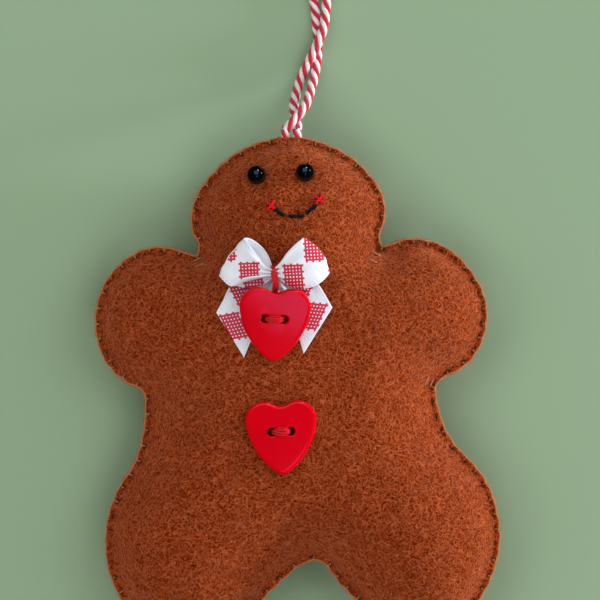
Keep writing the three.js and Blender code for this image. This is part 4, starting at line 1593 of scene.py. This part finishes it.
@dataclass
class HangingLoop:
    """The twine: four twisted plies, two red and two white, in a loop whose ends are sewn in."""

    diameter: float = 2.0
    plies: int = 4
    spread: float = 0.27
    ply: float = 0.5
    lay: float = 6.0
    roots: tuple = (0.25, 2.7)
    root_y: float = 18.3
    knot_depth: float = 12.0
    knot_turns: int = 3
    knot_size: tuple = (1.5, 1.3, 1.3)
    sewn_ply: float = 0.85

    def route(self) -> list[Point]:
        """The points that the loop follows, from its left root round to its right root.

        Returns:
            Points in millimetres from the face.
        """
        return [
            (self.roots[0], self.root_y, SEAM_Z), (1.1, 19.1, 9.1), (2.9, 21, 8.7),
            (4.3, 22.6, 7.7), (5.2, 24.4, 6.2), (6, 26.5, 4.3), (6.9, 29.4, 2.3), (7.6, 32.8, 1.15),
            (8, 36.3, 1), (7.9, 40, 1), (7.5, 45.4, 1), (6.1, 50.5, 1), (4.7, 55.5, 1),
            (4.3, 60.5, 1), (5.9, 65.4, 1), (9.3, 67.7, 1), (12.7, 65.7, 1), (14.1, 60.7, 1),
            (13.4, 55.5, 1), (11.9, 50.5, 1), (10.3, 45.3, 1.1), (9.4, 39.9, 2.1),
            (7.9, 36.3, 3.25), (5.8, 32.4, 2.2), (4, 29, 1.7), (2.8, 25.6, 3.4), (2.3, 23.6, 5),
            (2.4, 21.6, 6.4), (2.9, 19.6, 7.8), (self.roots[1], self.root_y, SEAM_Z),
        ]

    def twisted(self, line: np.ndarray, phase: float = 0.0) -> list[tuple[np.ndarray, int]]:
        """The plies round a centreline, with their colours."""
        strands = plies_of(line, self.plies, self.spread * self.diameter, -self.lay, phase)
        return [(strand, k % 2) for k, strand in enumerate(strands)]

    def build(self, box: Workbox) -> None:
        """Makes the loop and its sewn ends.

        Args:
            box: The materials.
        """
        line = smooth_line(self.route(), 0.3)
        log.info("twine outside the seam: %.1f mm", length_of(line))
        ply = self.ply * self.diameter
        loop = strands_piece(
            "twine_loop", self.twisted(line), ply, box.red_ply, box.white_ply, round_to=2)
        dress(loop, Body.LOOP, Slot.TWINE, "hanging_loop")
        middle = sum(self.roots) / 2
        deep = CROWN_Y - self.knot_depth
        lines = []
        for x in self.roots:
            sewn = smooth_line(
                [(x, self.root_y, SEAM_Z), (x, CROWN_Y - 4, SEAM_Z),
                 ((x + middle) / 2, CROWN_Y - 8, SEAM_Z), (middle, deep, SEAM_Z)], 0.4)
            lines += self.twisted(sewn)
        coil = np.linspace(0, self.knot_turns * FULL_TURN, 90)
        round_knot = np.column_stack([
            middle + self.knot_size[0] * np.cos(coil),
            deep + self.knot_size[1] * np.sin(coil),
            SEAM_Z + self.knot_size[2] * np.sin(coil / self.knot_turns + 0.6),
        ])
        lines += self.twisted(round_knot)
        sewn_ends = strands_piece("twine_ends", lines, self.sewn_ply * ply, box.red_ply, box.white_ply)
        dress(sewn_ends, Body.FIGURE, Slot.TWINE, "loop_anchor")


@dataclass
class EyeBead:
    """A round black bead with a bore across it, sewn down by its own thread."""

    side: Side
    body: Body
    place: tuple
    height: float
    diameter: float = 4.0
    bore: float = 1.1
    thread: Thread = Thread(0.4, 1.2)

    def build(self, ground: Ground, box: Workbox) -> None:
        """Makes the bead and its thread.

        Args:
            ground: The front felt.
            box: The materials.
        """
        label = self.side.name.lower()
        centre = Vector((*self.place, self.height))
        radius = self.diameter / 2
        opening = math.asin(self.bore / self.diameter)
        shape = bmesh.new()
        start = shape.verts.new((-radius * math.cos(opening), radius * math.sin(opening), 0))
        bmesh.ops.spin(
            shape, geom=[start], cent=(0, 0, 0), axis=(0, 0, 1), angle=-(math.pi - 2 * opening),
            steps=20, use_merge=False)
        rim = [v for v in shape.verts if abs(abs(v.co.x) - radius * math.cos(opening)) < 1e-4]
        shape.edges.new(rim)
        bmesh.ops.spin(
            shape, geom=shape.verts[:] + shape.edges[:], cent=(0, 0, 0), axis=(1, 0, 0),
            angle=FULL_TURN, steps=36, use_merge=True)
        bmesh.ops.remove_doubles(shape, verts=shape.verts, dist=1e-4)
        bmesh.ops.recalc_face_normals(shape, faces=shape.faces)
        bmesh.ops.translate(shape, verts=shape.verts, vec=centre)
        bead = piece_of(shape, f"bead_{label}", box.bead)
        dress(bead, self.body, Slot.BEAD, f"{label}_eye_bead")
        reach = radius + 0.02
        lines = []
        for way in (-1, 1):
            x = centre.x + way * reach
            floor = ground.top(x, centre.y)
            course = (
                (x, floor - 1.6), (x, floor), (x - way * 0.15, centre.z - 0.45),
                (centre.x + way * radius / 1.2, centre.z), (centre.x, centre.z))
            lines.append(smooth_line([(at, centre.y, z) for at, z in course], 0.15))
        name, node = f"bead_thread_{label}", f"{label}_eye_thread"
        self.thread.sew(name, lines, box.black_thread, Slot.BLACK_THREAD, node)


@dataclass
class FaceStitches:
    """The smile of three stitches and the two crossed cheeks."""

    smile: tuple = ((-2.55, 1.65, -1, 0.3), (0.3, 0.05, 3.1, -0.05), (4.05, 0.55, 6, 2.1))
    smile_lift: float = 0.45
    smile_thread: Thread = Thread(0.85, 2.2, 3, 0.25, 0.5)
    cheeks: dict = field(default_factory=lambda: {Side.LEFT: (-3.5, 2.5), Side.RIGHT: (6.7, 3.3)})
    cheek_cross: float = 1.7
    cheek_lifts: tuple = (0.3, 0.72)
    cheek_thread: Thread = Thread(0.68, 1.4, 2, 0.25, 0.58)
    course: tuple = (
        (0, -1.2, 0), (0, -0.3, 0), (0.1, 0, 0.6), (0.5, 0, 1), (0.9, 0, 0.6), (1, -0.3, 0),
        (1, -1.2, 0))

    def arch(self, ground: Ground, start: Point, end: Point, lift: float) -> np.ndarray:
        """One stitch: up out of the felt, across and down again.

        Args:
            ground: The felt.
            start: Where it comes up.
            end: Where it dives.
            lift: How high its middle lies over the felt.

        Returns:
            Its centreline.
        """
        points = []
        for share, deep, high in self.course:
            x = start[0] + (end[0] - start[0]) * share
            y = start[1] + (end[1] - start[1]) * share
            points.append((x, y, ground.top(x, y) + deep + high * lift))
        return smooth_line(points, 0.12)

    def build(self, ground: Ground, box: Workbox) -> None:
        """Makes the smile and the cheeks.

        Args:
            ground: The front felt.
            box: The materials.
        """
        lines = [
            self.arch(ground, (x0, y0), (x1, y1), self.smile_lift) for x0, y0, x1, y1 in self.smile]
        self.smile_thread.sew(
            "smile_stitches", lines, box.black_thread, Slot.BLACK_THREAD, "mouth_thread")
        r = self.cheek_cross / 2
        for side, (x, y) in self.cheeks.items():
            lines = [
                self.arch(ground, (x - way * r, y + r), (x + way * r, y - r), lift)
                for lift, way in zip(self.cheek_lifts, (1, -1))
            ]
            label = side.name.lower()
            name, node = f"cheek_{label}", f"{label}_cheek_stitch"
            self.cheek_thread.sew(name, lines, box.red_thread, Slot.RED_THREAD, node)


@dataclass
class Bow:
    """One ribbon in two loops and two tails, gathered in a waist and bound with thread."""

    waist: tuple = (-3.3, -11.5)
    width: float = 10.0
    thickness: float = 0.16
    tie: Thread = Thread(0.9, 7.0, 2, 0.18, 0.5)
    tie_apart: float = 0.43
    tie_twist: float = 0.9
    tie_roundness: float = 0.85
    tie_top: float = -10.3
    tie_bottom: float = -15.4
    tie_low: float = 0.2
    tie_high: float = 3.75
    pleat: float = 0.5
    bulge: float = 0.9
    bulge_reach: int = 110
    pleats: float = 3.0
    crown: float = 0.4
    tail_crown: float = 0.35
    lip_start: float = 0.84
    lip_width: float = 0.16
    tail_root: float = 1.8
    tail_lift: float = 0.45
    samples: int = 400
    unprinted: tuple = (80.0, 80.0)
    length: float = 0.0
    # Upper and lower selvedge of each loop, heights over the felt at the waist.
    loops: dict = field(default_factory=lambda: {
        Side.LEFT: (
            ((-3.3, -11, 2.9), (-4.8, -10, 3.5), (-7, -7.4, 3.9), (-8.9, -4.9, 3.6),
             (-9.4, -4.2, 2.7), (-8.6, -4.1, 2.1), (-7.5, -4.6, 2), (-5.7, -6.1, 2),
             (-4.5, -8, 2.1), (-3.8, -10.1, 2.2), (-3.3, -11, 2)),
            ((-3.3, -12.2, 2.9), (-6.5, -12.7, 3.9), (-9.3, -13.2, 4.2), (-12.7, -14, 3.9),
             (-14.2, -12.7, 3.5), (-15, -11.65, 2.7), (-14.1, -12.4, 2.1), (-11.5, -14, 1.9),
             (-8.8, -14.5, 1.8), (-5.8, -14, 1.8), (-3.3, -12.4, 2)),
        ),
        Side.RIGHT: (
            ((-3.3, -11, 2.9), (-1.95, -9.6, 3.5), (-0.5, -7.6, 3.9), (1.4, -5.8, 3.9),
             (2.7, -4.8, 3.5), (3, -4.5, 2.7), (2.5, -5, 2), (0.4, -7.4, 1.9), (-1.4, -9.6, 2),
             (-3.3, -11, 2)),
            ((-3.3, -12.2, 2.9), (-1.6, -13.7, 3.8), (0.3, -14.8, 4.2), (3.4, -15.2, 4.1),
             (6.3, -14.1, 3.8), (8.1, -12.2, 2.7), (7.4, -12.6, 2), (5, -13.8, 1.9),
             (0.5, -14, 1.8), (-3.3, -12.4, 2)),
        ),
    })
    # Which point of each selvedge lies at the loop's end.
    folds: dict = field(default_factory=lambda: {Side.LEFT: (4, 5), Side.RIGHT: (5, 5)})
    # Outer and inner selvedge of each tail.
    tails: dict = field(default_factory=lambda: {
        Side.LEFT: (
            ((-3.3, -11.3), (-8.2, -12.3), (-12.6, -13.9), (-14.4, -16.9), (-15.95, -19.4)),
            ((-3.3, -12), (-3.9, -16.2), (-6.4, -20.8), (-9.1, -26), (-10.55, -29.1)),
        ),
        Side.RIGHT: (
            ((-3.3, -11.3), (1.4, -12.4), (5.5, -14.3), (6.95, -16.6), (8.45, -19.5)),
            ((-3.3, -12), (-2.7, -16.2), (-0.3, -21), (1.25, -26), (1.95, -28.9)),
        ),
    })
    # The print's corner on each strip, and its ways across and along the ribbon.
    prints: dict = field(default_factory=lambda: {
        Strip.LEFT_LOOP: ((-10.8, -9.05), (0.0, -1.0), (1.0, 0.0)),
        Strip.RIGHT_LOOP: ((-1.7, -9.9), (0.04, -1.0), (1.0, 0.0)),
        Strip.LEFT_TAIL: ((-15.7, -19.9), (0.45, -1.0), (0.99, 0.15)),
        Strip.RIGHT_TAIL: ((7.8, -18.6), (-0.5, -1.0), (-0.98, 0.15)),
    })
    back_print: float = 0.8

    def loop_edges(self, side: Side, floor: float) -> tuple[np.ndarray, np.ndarray]:
        """The two selvedges of a loop, out along its face, round its end and back beneath.

        Args:
            side: Which loop.
            floor: Height of the felt at the waist.

        Returns:
            Rows of points for each.
        """
        half = self.samples // 2
        rails = []
        for edge, end in zip(self.loops[side], self.folds[side]):
            points = [(x, y, floor + z) for x, y, z in edge]
            line = smooth_line(points, 0.05)
            turn = int(((line - points[end]) ** 2).sum(1).argmin())
            out, back = self.spread(line[: turn + 1], half + 1), self.spread(line[turn:], half)
            rails.append(np.vstack([out[:-1], back]))
        return tuple(rails)

    def spread(self, line: np.ndarray, count: int) -> np.ndarray:
        """A line as that many evenly spaced points."""
        places, known = np.linspace(0, len(line) - 1, count), np.arange(len(line))
        return np.column_stack([np.interp(places, known, column) for column in line.T])

    def tail_edges(self, side: Side, ground: Ground, floor: float) -> tuple[np.ndarray, np.ndarray]:
        """The two selvedges of a tail, from the waist down onto the felt.

        Args:
            side: Which tail.
            ground: The front felt.
            floor: Its height at the waist.

        Returns:
            Rows of points for each.
        """
        lines = []
        for edge in self.tails[side]:
            laid = [(x, y, ground.top(x, y) + self.tail_lift) for x, y in edge[1:]]
            points = [(*edge[0], floor + self.tail_root), *laid]
            lines.append(self.spread(smooth_line(points, 0.05), self.samples))
        return tuple(lines)

    def printed(self, strip: Strip, x: float, y: float, hidden: bool) -> tuple[float, float]:
        """Where a point of the bow lies on the printed pattern, which starts afresh on each strip.

        Args:
            strip: The strip that the point belongs to.
            x, y: Its place.
            hidden: Whether it is on the back of a loop.

        Returns:
            Millimetres across and along the print.
        """
        corner, down, onward = self.prints[strip]
        dx, dy = x - corner[0] - (self.back_print if hidden else 0.0), y - corner[1]
        area = down[0] * onward[1] - down[1] * onward[0]
        return ((dx * onward[1] - dy * onward[0]) / area, (down[0] * dy - down[1] * dx) / area)

    def strip(self, kind: Strip, edges: tuple[np.ndarray, np.ndarray]) -> Shape:
        """Ribbon between two selvedges, gathered in pleats where it leaves the waist.

        Args:
            kind: Which strip of the bow.
            edges: Its two selvedges.

        Returns:
            The shape, with its flat map and its print map.
        """
        looped = kind.looped
        shape = bmesh.new()
        bmesh.ops.create_grid(shape, x_segments=40, y_segments=120 if looped else 80, size=0.5)
        flat = {v: (v.co.x, v.co.y + 0.5) for v in shape.verts}
        near, far = edges
        long = (length_of(near) + length_of(far)) / 2
        skin = unit(np.cross(far - near, np.gradient((near + far) / 2, axis=0)))
        wide = np.linalg.norm(far - near, axis=1)
        last = self.samples - 1
        fold = self.samples // 2 if looped else last
        outward = Vector((near[fold] + far[fold])[:2] / 2) - Vector(self.waist)
        outward = Vector((*outward.normalized(), 0.0))
        layer, print_layer = (shape.loops.layers.uv.new(name) for name in ("ribbon", "print"))
        prints = {}
        for vert, (u, v) in flat.items():
            k = min(last, round(v * last))
            share = u + 0.5
            point = near[k] * (1 - share) + far[k] * share
            gather = np.clip(1 - wide[k] / self.width, 0, 1)
            swing = FULL_TURN * (self.pleats * share + 0.1) + 2.4 * v
            wave = self.pleat * gather**0.7 * math.sin(swing)
            arch = math.sin(math.pi * share)
            crown = self.crown * arch * (1 - gather) * (1.0 if looped else self.tail_crown)
            vert.co = point + skin[k] * (wave + crown)
            lip = max(0.0, share - self.lip_start) / self.lip_width
            behind = looped and k > fold
            if looped:
                beside = max(0.0, 1 - abs(k - fold) / self.bulge_reach)
                vert.co += outward * (self.bulge * arch * beside**2)
            if looped and not behind:
                vert.co.z -= lip * min(1.0, 4 * gather)
            prints[vert] = self.printed(kind, vert.co.x, vert.co.y, behind)
            curled = kind is Strip.LEFT_LOOP and not behind and lip * gather > 0.02
            if curled or (behind and vert.co.y > self.waist[1]):
                prints[vert] = self.unprinted
        for face in shape.faces:
            for corner in face.loops:
                u, v = flat[corner.vert]
                corner[layer].uv = (u * self.width * MM, (self.length + v * long) * MM)
                corner[print_layer].uv = (prints[corner.vert][0] * MM, prints[corner.vert][1] * MM)
        self.length += long
        return shape

    def build(self, ground: Ground, box: Workbox) -> None:
        """Makes the ribbon and the thread that binds it.

        Args:
            ground: The front felt.
            box: The materials.
        """
        floor = ground.top(*self.waist)
        whole = bpy.data.meshes.new("ribbon_bow")
        joined = bmesh.new()
        for kind in Strip:
            if kind.looped:
                edges = self.loop_edges(kind.side, floor)
            else:
                edges = self.tail_edges(kind.side, ground, floor)
            strip = self.strip(kind, edges)
            strip.to_mesh(whole)
            strip.free()
            joined.from_mesh(whole)
        bpy.data.meshes.remove(whole)
        ribbon = piece_of(joined, "ribbon_bow", box.ribbon)
        body = ribbon.modifiers.new("cloth", "SOLIDIFY")
        body.thickness = self.thickness * MM
        body.offset = 0.0
        log.info("ribbon %.0f x %.1f mm", self.width, self.length)
        dress(ribbon, Body.FIGURE, Slot.RIBBON, "bow_ribbon")
        self.bind(floor, box)

    def bind(self, floor: float, box: Workbox) -> None:
        """Winds the thread round the waist.

        Args:
            floor: Height of the felt at the waist.
            box: The materials.
        """
        turn = np.linspace(0, FULL_TURN, 60)
        middle = (self.tie_top + self.tie_bottom) / 2
        tall = (self.tie_top - self.tie_bottom) / 2
        back, front = floor + self.tie_low, floor + self.tie_high
        apart = self.tie_apart * self.tie.thickness
        rounded = [
            np.sign(f) * np.abs(f) ** self.tie_roundness for f in (np.cos(turn), np.sin(turn))]
        turns = (-1, 0, 1)
        lines = [
            np.column_stack([
                self.waist[0] + 0.02 + k * apart + 0.1 * k * rounded[1],
                middle + tall * rounded[1],
                (front + back) / 2 + (front - back) / 2 * rounded[0] - 0.07 * abs(k),
            ])
            for k in turns
        ]
        self.tie.sew(
            "bow_tie", lines, box.red_thread, Slot.RED_THREAD, "bow_tie_thread",
            phases=[self.tie_twist * k for k in turns], round_to=2)


@dataclass
class HeartButton:
    """A moulded heart button with a soft rim and two holes, sewn on with several strands."""

    label: str
    body: Body
    place: tuple
    height: float
    turn: float = 0.0
    tilt: float = 0.0
    width: float = 15.0
    top: float = 6.4
    tip: float = 9.1
    thickness: float = 2.4
    lobe: float = 3.95
    notch: float = 3.0
    flank: float = 15.5
    tip_radius: float = 1.7
    hole: float = 1.9
    spacing: float = 3.9
    edge: float = 0.7
    dome: float = 0.12
    thread: Thread = Thread(0.5, 2.4, spread=0.2)
    strands: int = 4
    strands_apart: float = 0.42
    rim: tuple = ((0.24, 0.0), (0.2, -0.01), (0.08, -0.05), (0.0, -0.2))
    bore: tuple = ((0.0, 0.2), (0.15, 0.0))
    hole_border: float = 0.4
    back_edge: float = 0.7
    face_rows: tuple = (0.35, 0.7)
    fills: tuple = (0.94, 0.86, 0.78, 0.7, 0.62)
    fill_middle: tuple = (0, -0.8)
    seed: int = 8

    def arcs(self) -> list[Arc]:
        """The heart's outline from the notch round both lobes.

        Returns:
            Its arcs in order.
        """
        lobe = Vector((self.width / 2 - self.lobe, self.top - self.lobe))
        tip = Vector((0, self.tip_radius - self.tip))
        notch = Vector((0, lobe.y + math.sqrt((self.lobe + self.notch) ** 2 - lobe.x**2)))
        flank = meeting(lobe, self.flank - self.lobe, tip, self.flank - self.tip_radius)
        other = Vector((-lobe.x, lobe.y))
        mirror = Vector((-flank.x, flank.y))
        down, up = bearing(flank, tip), bearing(flank, lobe)
        return [
            arc_between(other, self.lobe, bearing(other, notch), math.pi - up, False),
            arc_between(mirror, self.flank, math.pi - up, math.pi - down, False),
            arc_between(tip, self.tip_radius, math.pi - down, down, False),
            arc_between(flank, self.flank, down, up, False),
            arc_between(lobe, self.lobe, up, bearing(lobe, notch), False),
            arc_between(notch, self.notch, bearing(notch, lobe), bearing(notch, other), True),
        ]

    def matrix(self) -> Matrix:
        """Where the button sits: turned on its own face, tilted, then set on the felt.

        Returns:
            The placing matrix.
        """
        place = Matrix.Translation((*self.place, self.height))
        tilt = Matrix.Rotation(math.radians(self.tilt), 4, "X")
        return place @ tilt @ Matrix.Rotation(math.radians(self.turn), 4, "Z")

    def profile(self) -> list[tuple[float, float]]:
        """Inset and height of each ring, from the back's edge round the rim to the face.

        Returns:
            The rings in order.
        """
        low, high = self.edge * self.back_edge, self.edge
        rings = []
        for k in range(6):
            angle = math.pi / 2 * k / 5
            rings.append((low * (1 - math.sin(angle)), low * (1 - math.cos(angle))))
        for k in range(1, 9):
            angle = math.pi / 2 * k / 8
            drop = high * (1 - math.sin(angle))
            rings.append((high * (1 - math.cos(angle)), self.thickness - drop))
        return rings + [(high + inset, self.thickness) for inset in self.face_rows]

    def crown(self, x: float, y: float) -> float:
        """How much the rounded face rises at a point."""
        return self.dome * (1 - (x**2 + (y + 1.2) ** 2) / 60)

    def grown(self, made: Shape, ring: list, places: Iterable[Point]) -> list:
        """Extrudes a closed ring of points to new places.

        Args:
            made: The shape.
            ring: The ring's points in order.
            places: Where each goes.

        Returns:
            The new ring, in the same order.
        """
        edges = [made.edges.get(pair) for pair in neighbours(ring)]
        made_now = bmesh.ops.extrude_edge_only(made, edges=edges)["geom"]
        fresh = {v for v in made_now if isinstance(v, Vert)}
        following = [
            next(e.other_vert(v) for e in v.link_edges if e.other_vert(v) in fresh) for v in ring]
        for vert, place in zip(following, places):
            vert.co = place
        return following

    def shape(self) -> Shape:
        """The button, its back at z = 0 and the middle between its holes at x = y = 0.

        Returns:
            The closed shape.
        """
        made = bmesh.new()
        rows = resampled(np.vstack([arc.points(0.2) for arc in self.arcs()]), 0.4)[:-1]
        way = unit(np.roll(rows, -1, axis=0) - np.roll(rows, 1, axis=0))
        inward = np.column_stack([-way[:, 1], way[:, 0]])
        rings = self.profile()
        ring = [made.verts.new((*(p + rings[0][0] * n), rings[0][1])) for p, n in zip(rows, inward)]
        for pair in neighbours(ring):
            made.edges.new(pair)
        backs, fronts = [ring], []
        for inset, z in rings[1:]:
            places = [(*(p + inset * n), z) for p, n in zip(rows, inward)]
            domed = [(x, y, z + self.crown(x, y) * z / self.thickness) for x, y, z in places]
            ring = self.grown(made, ring, domed)
        face = rings[-1][1]
        border = rows + rings[-1][0] * inward
        for scale in self.fills:
            inner = border * scale + np.array(self.fill_middle) * (1 - scale)
            ring = self.grown(made, ring, [(x, y, face + self.crown(x, y)) for x, y in inner])
        fronts.append(ring)
        for side in Side:
            middle = side.value * self.spacing / 2
            hole = bmesh.ops.create_circle(
                made, segments=28, radius=self.hole / 2 + self.hole_border,
                matrix=Matrix.Translation((middle, 0, 0)))["verts"]
            spokes = [Vector((v.co.x - middle, v.co.y)).normalized() for v in hole]
            for vert in hole:
                vert.co.z = face + self.crown(vert.co.x, vert.co.y)
            level = face + self.crown(middle, 0)
            fronts.append(hole)
            for wider, z in [(out, level + drop) for out, drop in self.rim] + list(self.bore):
                out = self.hole / 2 + wider
                hole = self.grown(made, hole, [(middle + s.x * out, s.y * out, z) for s in spokes])
            backs.append(hole)
        for cap in (fronts, backs):
            edges = [made.edges.get(pair) for ring in cap for pair in neighbours(ring)]
            bmesh.ops.triangle_fill(made, use_beauty=True, edges=edges)
        bmesh.ops.recalc_face_normals(made, faces=made.faces)
        return made

    def build(self, ground: Ground, box: Workbox) -> None:
        """Makes the button and the strands through its holes.

        Args:
            ground: The front felt.
            box: The materials.
        """
        shape = self.shape()
        bmesh.ops.transform(shape, matrix=self.matrix(), verts=shape.verts)
        button = piece_of(shape, f"heart_{self.label}", box.button)
        dress(button, self.body, Slot.BUTTON, f"{self.label}_heart_button")
        draw = np.random.default_rng(self.seed)
        apart = self.spacing / 2
        face = self.thickness + 0.1
        half = (self.strands - 1) / 2
        lines = []
        for k in range(self.strands):
            aside = (k - half) * self.strands_apart + draw.uniform(-0.05, 0.05)
            bulge = 0.38 + 0.2 * (half - abs(k - half)) + draw.uniform(0, 0.12)
            leg = [
                (apart, 0.2 * aside, -2.4),
                (apart - 0.05, 0.25 * aside, 0.6),
                (apart - 0.2, 0.35 * aside, face - 0.3),
                (apart - 0.9, 0.85 * aside, face + 0.75 * bulge),
            ]
            left = [(-x, y, z) for x, y, z in leg]
            course = [*left, (0, 1.15 * aside, face + bulge), *leg[::-1]]
            points = [self.matrix() @ Vector(p) for p in course]
            for end in (0, -1):
                x, y, _ = points[end]
                points[end] = Vector((x, y, ground.top(x, y) - 0.9))
            lines.append(smooth_line(points, 0.15))
        self.thread.sew(
            f"button_thread_{self.label}", lines, box.red_thread, Slot.RED_THREAD,
            f"{self.label}_button_thread", phases=range(self.strands))


@dataclass(frozen=True)
class Lamp:
    """A soft square lamp that faces the ornament.

    A mirrored lamp only shows in glossy surfaces; the others light without being mirrored.
    """

    name: str
    place: tuple
    size: float
    power: float
    colour: tuple
    mirrored: bool = False
    turn: float = 0.0

    def hang(self) -> None:
        """Sets up the lamp at its place, in metres, turned on its own axis."""
        light = bpy.data.lights.new(self.name, "AREA")
        light.shape = "SQUARE"
        light.size = self.size
        light.energy = self.power
        light.color = self.colour
        lamp = bpy.data.objects.new(self.name, light)
        bpy.context.scene.collection.objects.link(lamp)
        lamp.location = self.place
        lamp.visible_glossy = self.mirrored
        lamp.visible_diffuse = not self.mirrored
        facing = (Vector((0, 0, 0.01)) - Vector(self.place)).to_track_quat("-Z", "Y").to_matrix()
        turned = Matrix.Rotation(math.radians(self.turn), 3, "Z")
        lamp.rotation_euler = (facing @ turned).to_euler()


@dataclass
class Studio:
    """Floor, light and camera, set as the photograph was taken: from straight above."""

    view_middle: tuple = (1.73, -17.6)
    view_width: float = 126.3
    roll: float = -2.62
    distance: float = 2.4
    sensor: float = 36.0
    floor_size: float = 3.0
    floor_colour: tuple = srgb(142, 168, 140)
    floor_roughness: float = 0.9
    floor_gloss: float = 0.2
    world_colour: tuple = (1.0, 0.965, 0.9, 1.0)
    world_strength: float = 0.365
    lamps: tuple = (
        Lamp("key", (0.6, 0.2, 0.8), 0.8, 3.0, (1.0, 0.98, 0.95)),
        Lamp("side", (1.3, 0.15, 0.11), 0.2, 24.0, (0.92, 0.98, 1.04)),
        Lamp("left", (-0.85, -0.05, 0.9), 0.8, 2.8, (1.0, 0.96, 0.88)),
        Lamp("low", (0.1, -0.85, 1.0), 0.8, 3.8, (1.0, 0.96, 0.88)),
        Lamp("sky", (-0.25, 0.7, 0.9), 0.8, 2.4, (1.0, 0.96, 0.88)),
        Lamp("glint", (0.3, 0.88, 0.4), 0.16, 1.4, (1.0, 1.0, 1.0), mirrored=True),
        Lamp("streak", (0.85, 0.38, 0.32), 0.16, 0.8, (0.8, 0.9, 1.0), mirrored=True),
        Lamp("window", (0.0, 0.6, 0.85), 0.9, 5.0, (0.3, 0.6, 1.0), mirrored=True),
        Lamp("sheet", (0.0965, -0.2735, 1.2), 0.3, 0.8, (0.35, 0.4, 1.0), mirrored=True, turn=28.0),
    )

    def build(self) -> None:
        """Makes the camera, the floor and the lights."""
        scene = bpy.context.scene
        scene.view_settings.view_transform = "Standard"
        lens = bpy.data.cameras.new("camera")
        lens.sensor_width = self.sensor
        lens.lens = self.sensor * (self.distance - SEAM_Z * MM) / (self.view_width * MM)
        camera = bpy.data.objects.new("camera", lens)
        scene.collection.objects.link(camera)
        middle = placed(np.array((*self.view_middle, 0.0)))
        camera.location = (middle[0], middle[1], self.distance)
        camera.rotation_euler = (0, 0, math.radians(self.roll))
        scene.camera = camera
        self.floor()
        for lamp in self.lamps:
            lamp.hang()
        world = bpy.data.worlds.new("studio")
        world.use_nodes = True
        backdrop = world.node_tree.nodes["Background"]
        backdrop.inputs["Color"].default_value = self.world_colour
        backdrop.inputs["Strength"].default_value = self.world_strength
        scene.world = world
        world.cycles_visibility.glossy = False

    def floor(self) -> None:
        """Lays a plain pale floor under the ornament."""
        shape = bmesh.new()
        bmesh.ops.create_grid(shape, x_segments=1, y_segments=1, size=self.floor_size)
        mesh = bpy.data.meshes.new("floor")
        shape.to_mesh(mesh)
        shape.free()
        material = bpy.data.materials.new("floor-paint")
        material.use_nodes = True
        shader = material.node_tree.nodes["Principled BSDF"]
        shader.inputs["Base Color"].default_value = self.floor_colour
        shader.inputs["Roughness"].default_value = self.floor_roughness
        shader.inputs["Specular IOR Level"].default_value = self.floor_gloss
        floor = new_object(mesh, "floor", [material])
        floor.visible_glossy = False


def main() -> None:
    """Builds the ornament: camera and twine first, then the felt and what is sewn on it."""
    logging.basicConfig(level=logging.INFO, format="%(name)s: %(message)s")
    box = Workbox()
    Studio().build()
    HangingLoop().build(box)
    outline = Outline()
    felt = FeltBody(outline)
    felt.build(box)
    ground = Ground(felt.front)
    FeltFuzz(9000, seed=11).build(felt.front, "fuzz_front", box)
    FeltCurls(3200, seed=13).build(felt.front, "curls_front", box)
    FeltFuzz(6000, seed=12).build(felt.back, "fuzz_back", box)
    FeltCurls(2000, seed=14).build(felt.back, "curls_back", box)
    EdgeStitching(outline).build(ground, box)
    EyeBead(Side.LEFT, Body.LEFT_EYE, (-6.2, 9.0), 16.775878).build(ground, box)
    EyeBead(Side.RIGHT, Body.RIGHT_EYE, (4.0, 9.05), 17.032822).build(ground, box)
    FaceStitches().build(ground, box)
    Bow().build(ground, box)
    HeartButton(
        "upper", Body.UPPER_BUTTON, (-3.75, -20.95), 22.139531, turn=-5.3, tilt=10.0, seed=7,
    ).build(ground, box)
    HeartButton("lower", Body.LOWER_BUTTON, (-3.45, -44.95), 19.981894).build(ground, box)


if __name__ == "__main__":
    main()
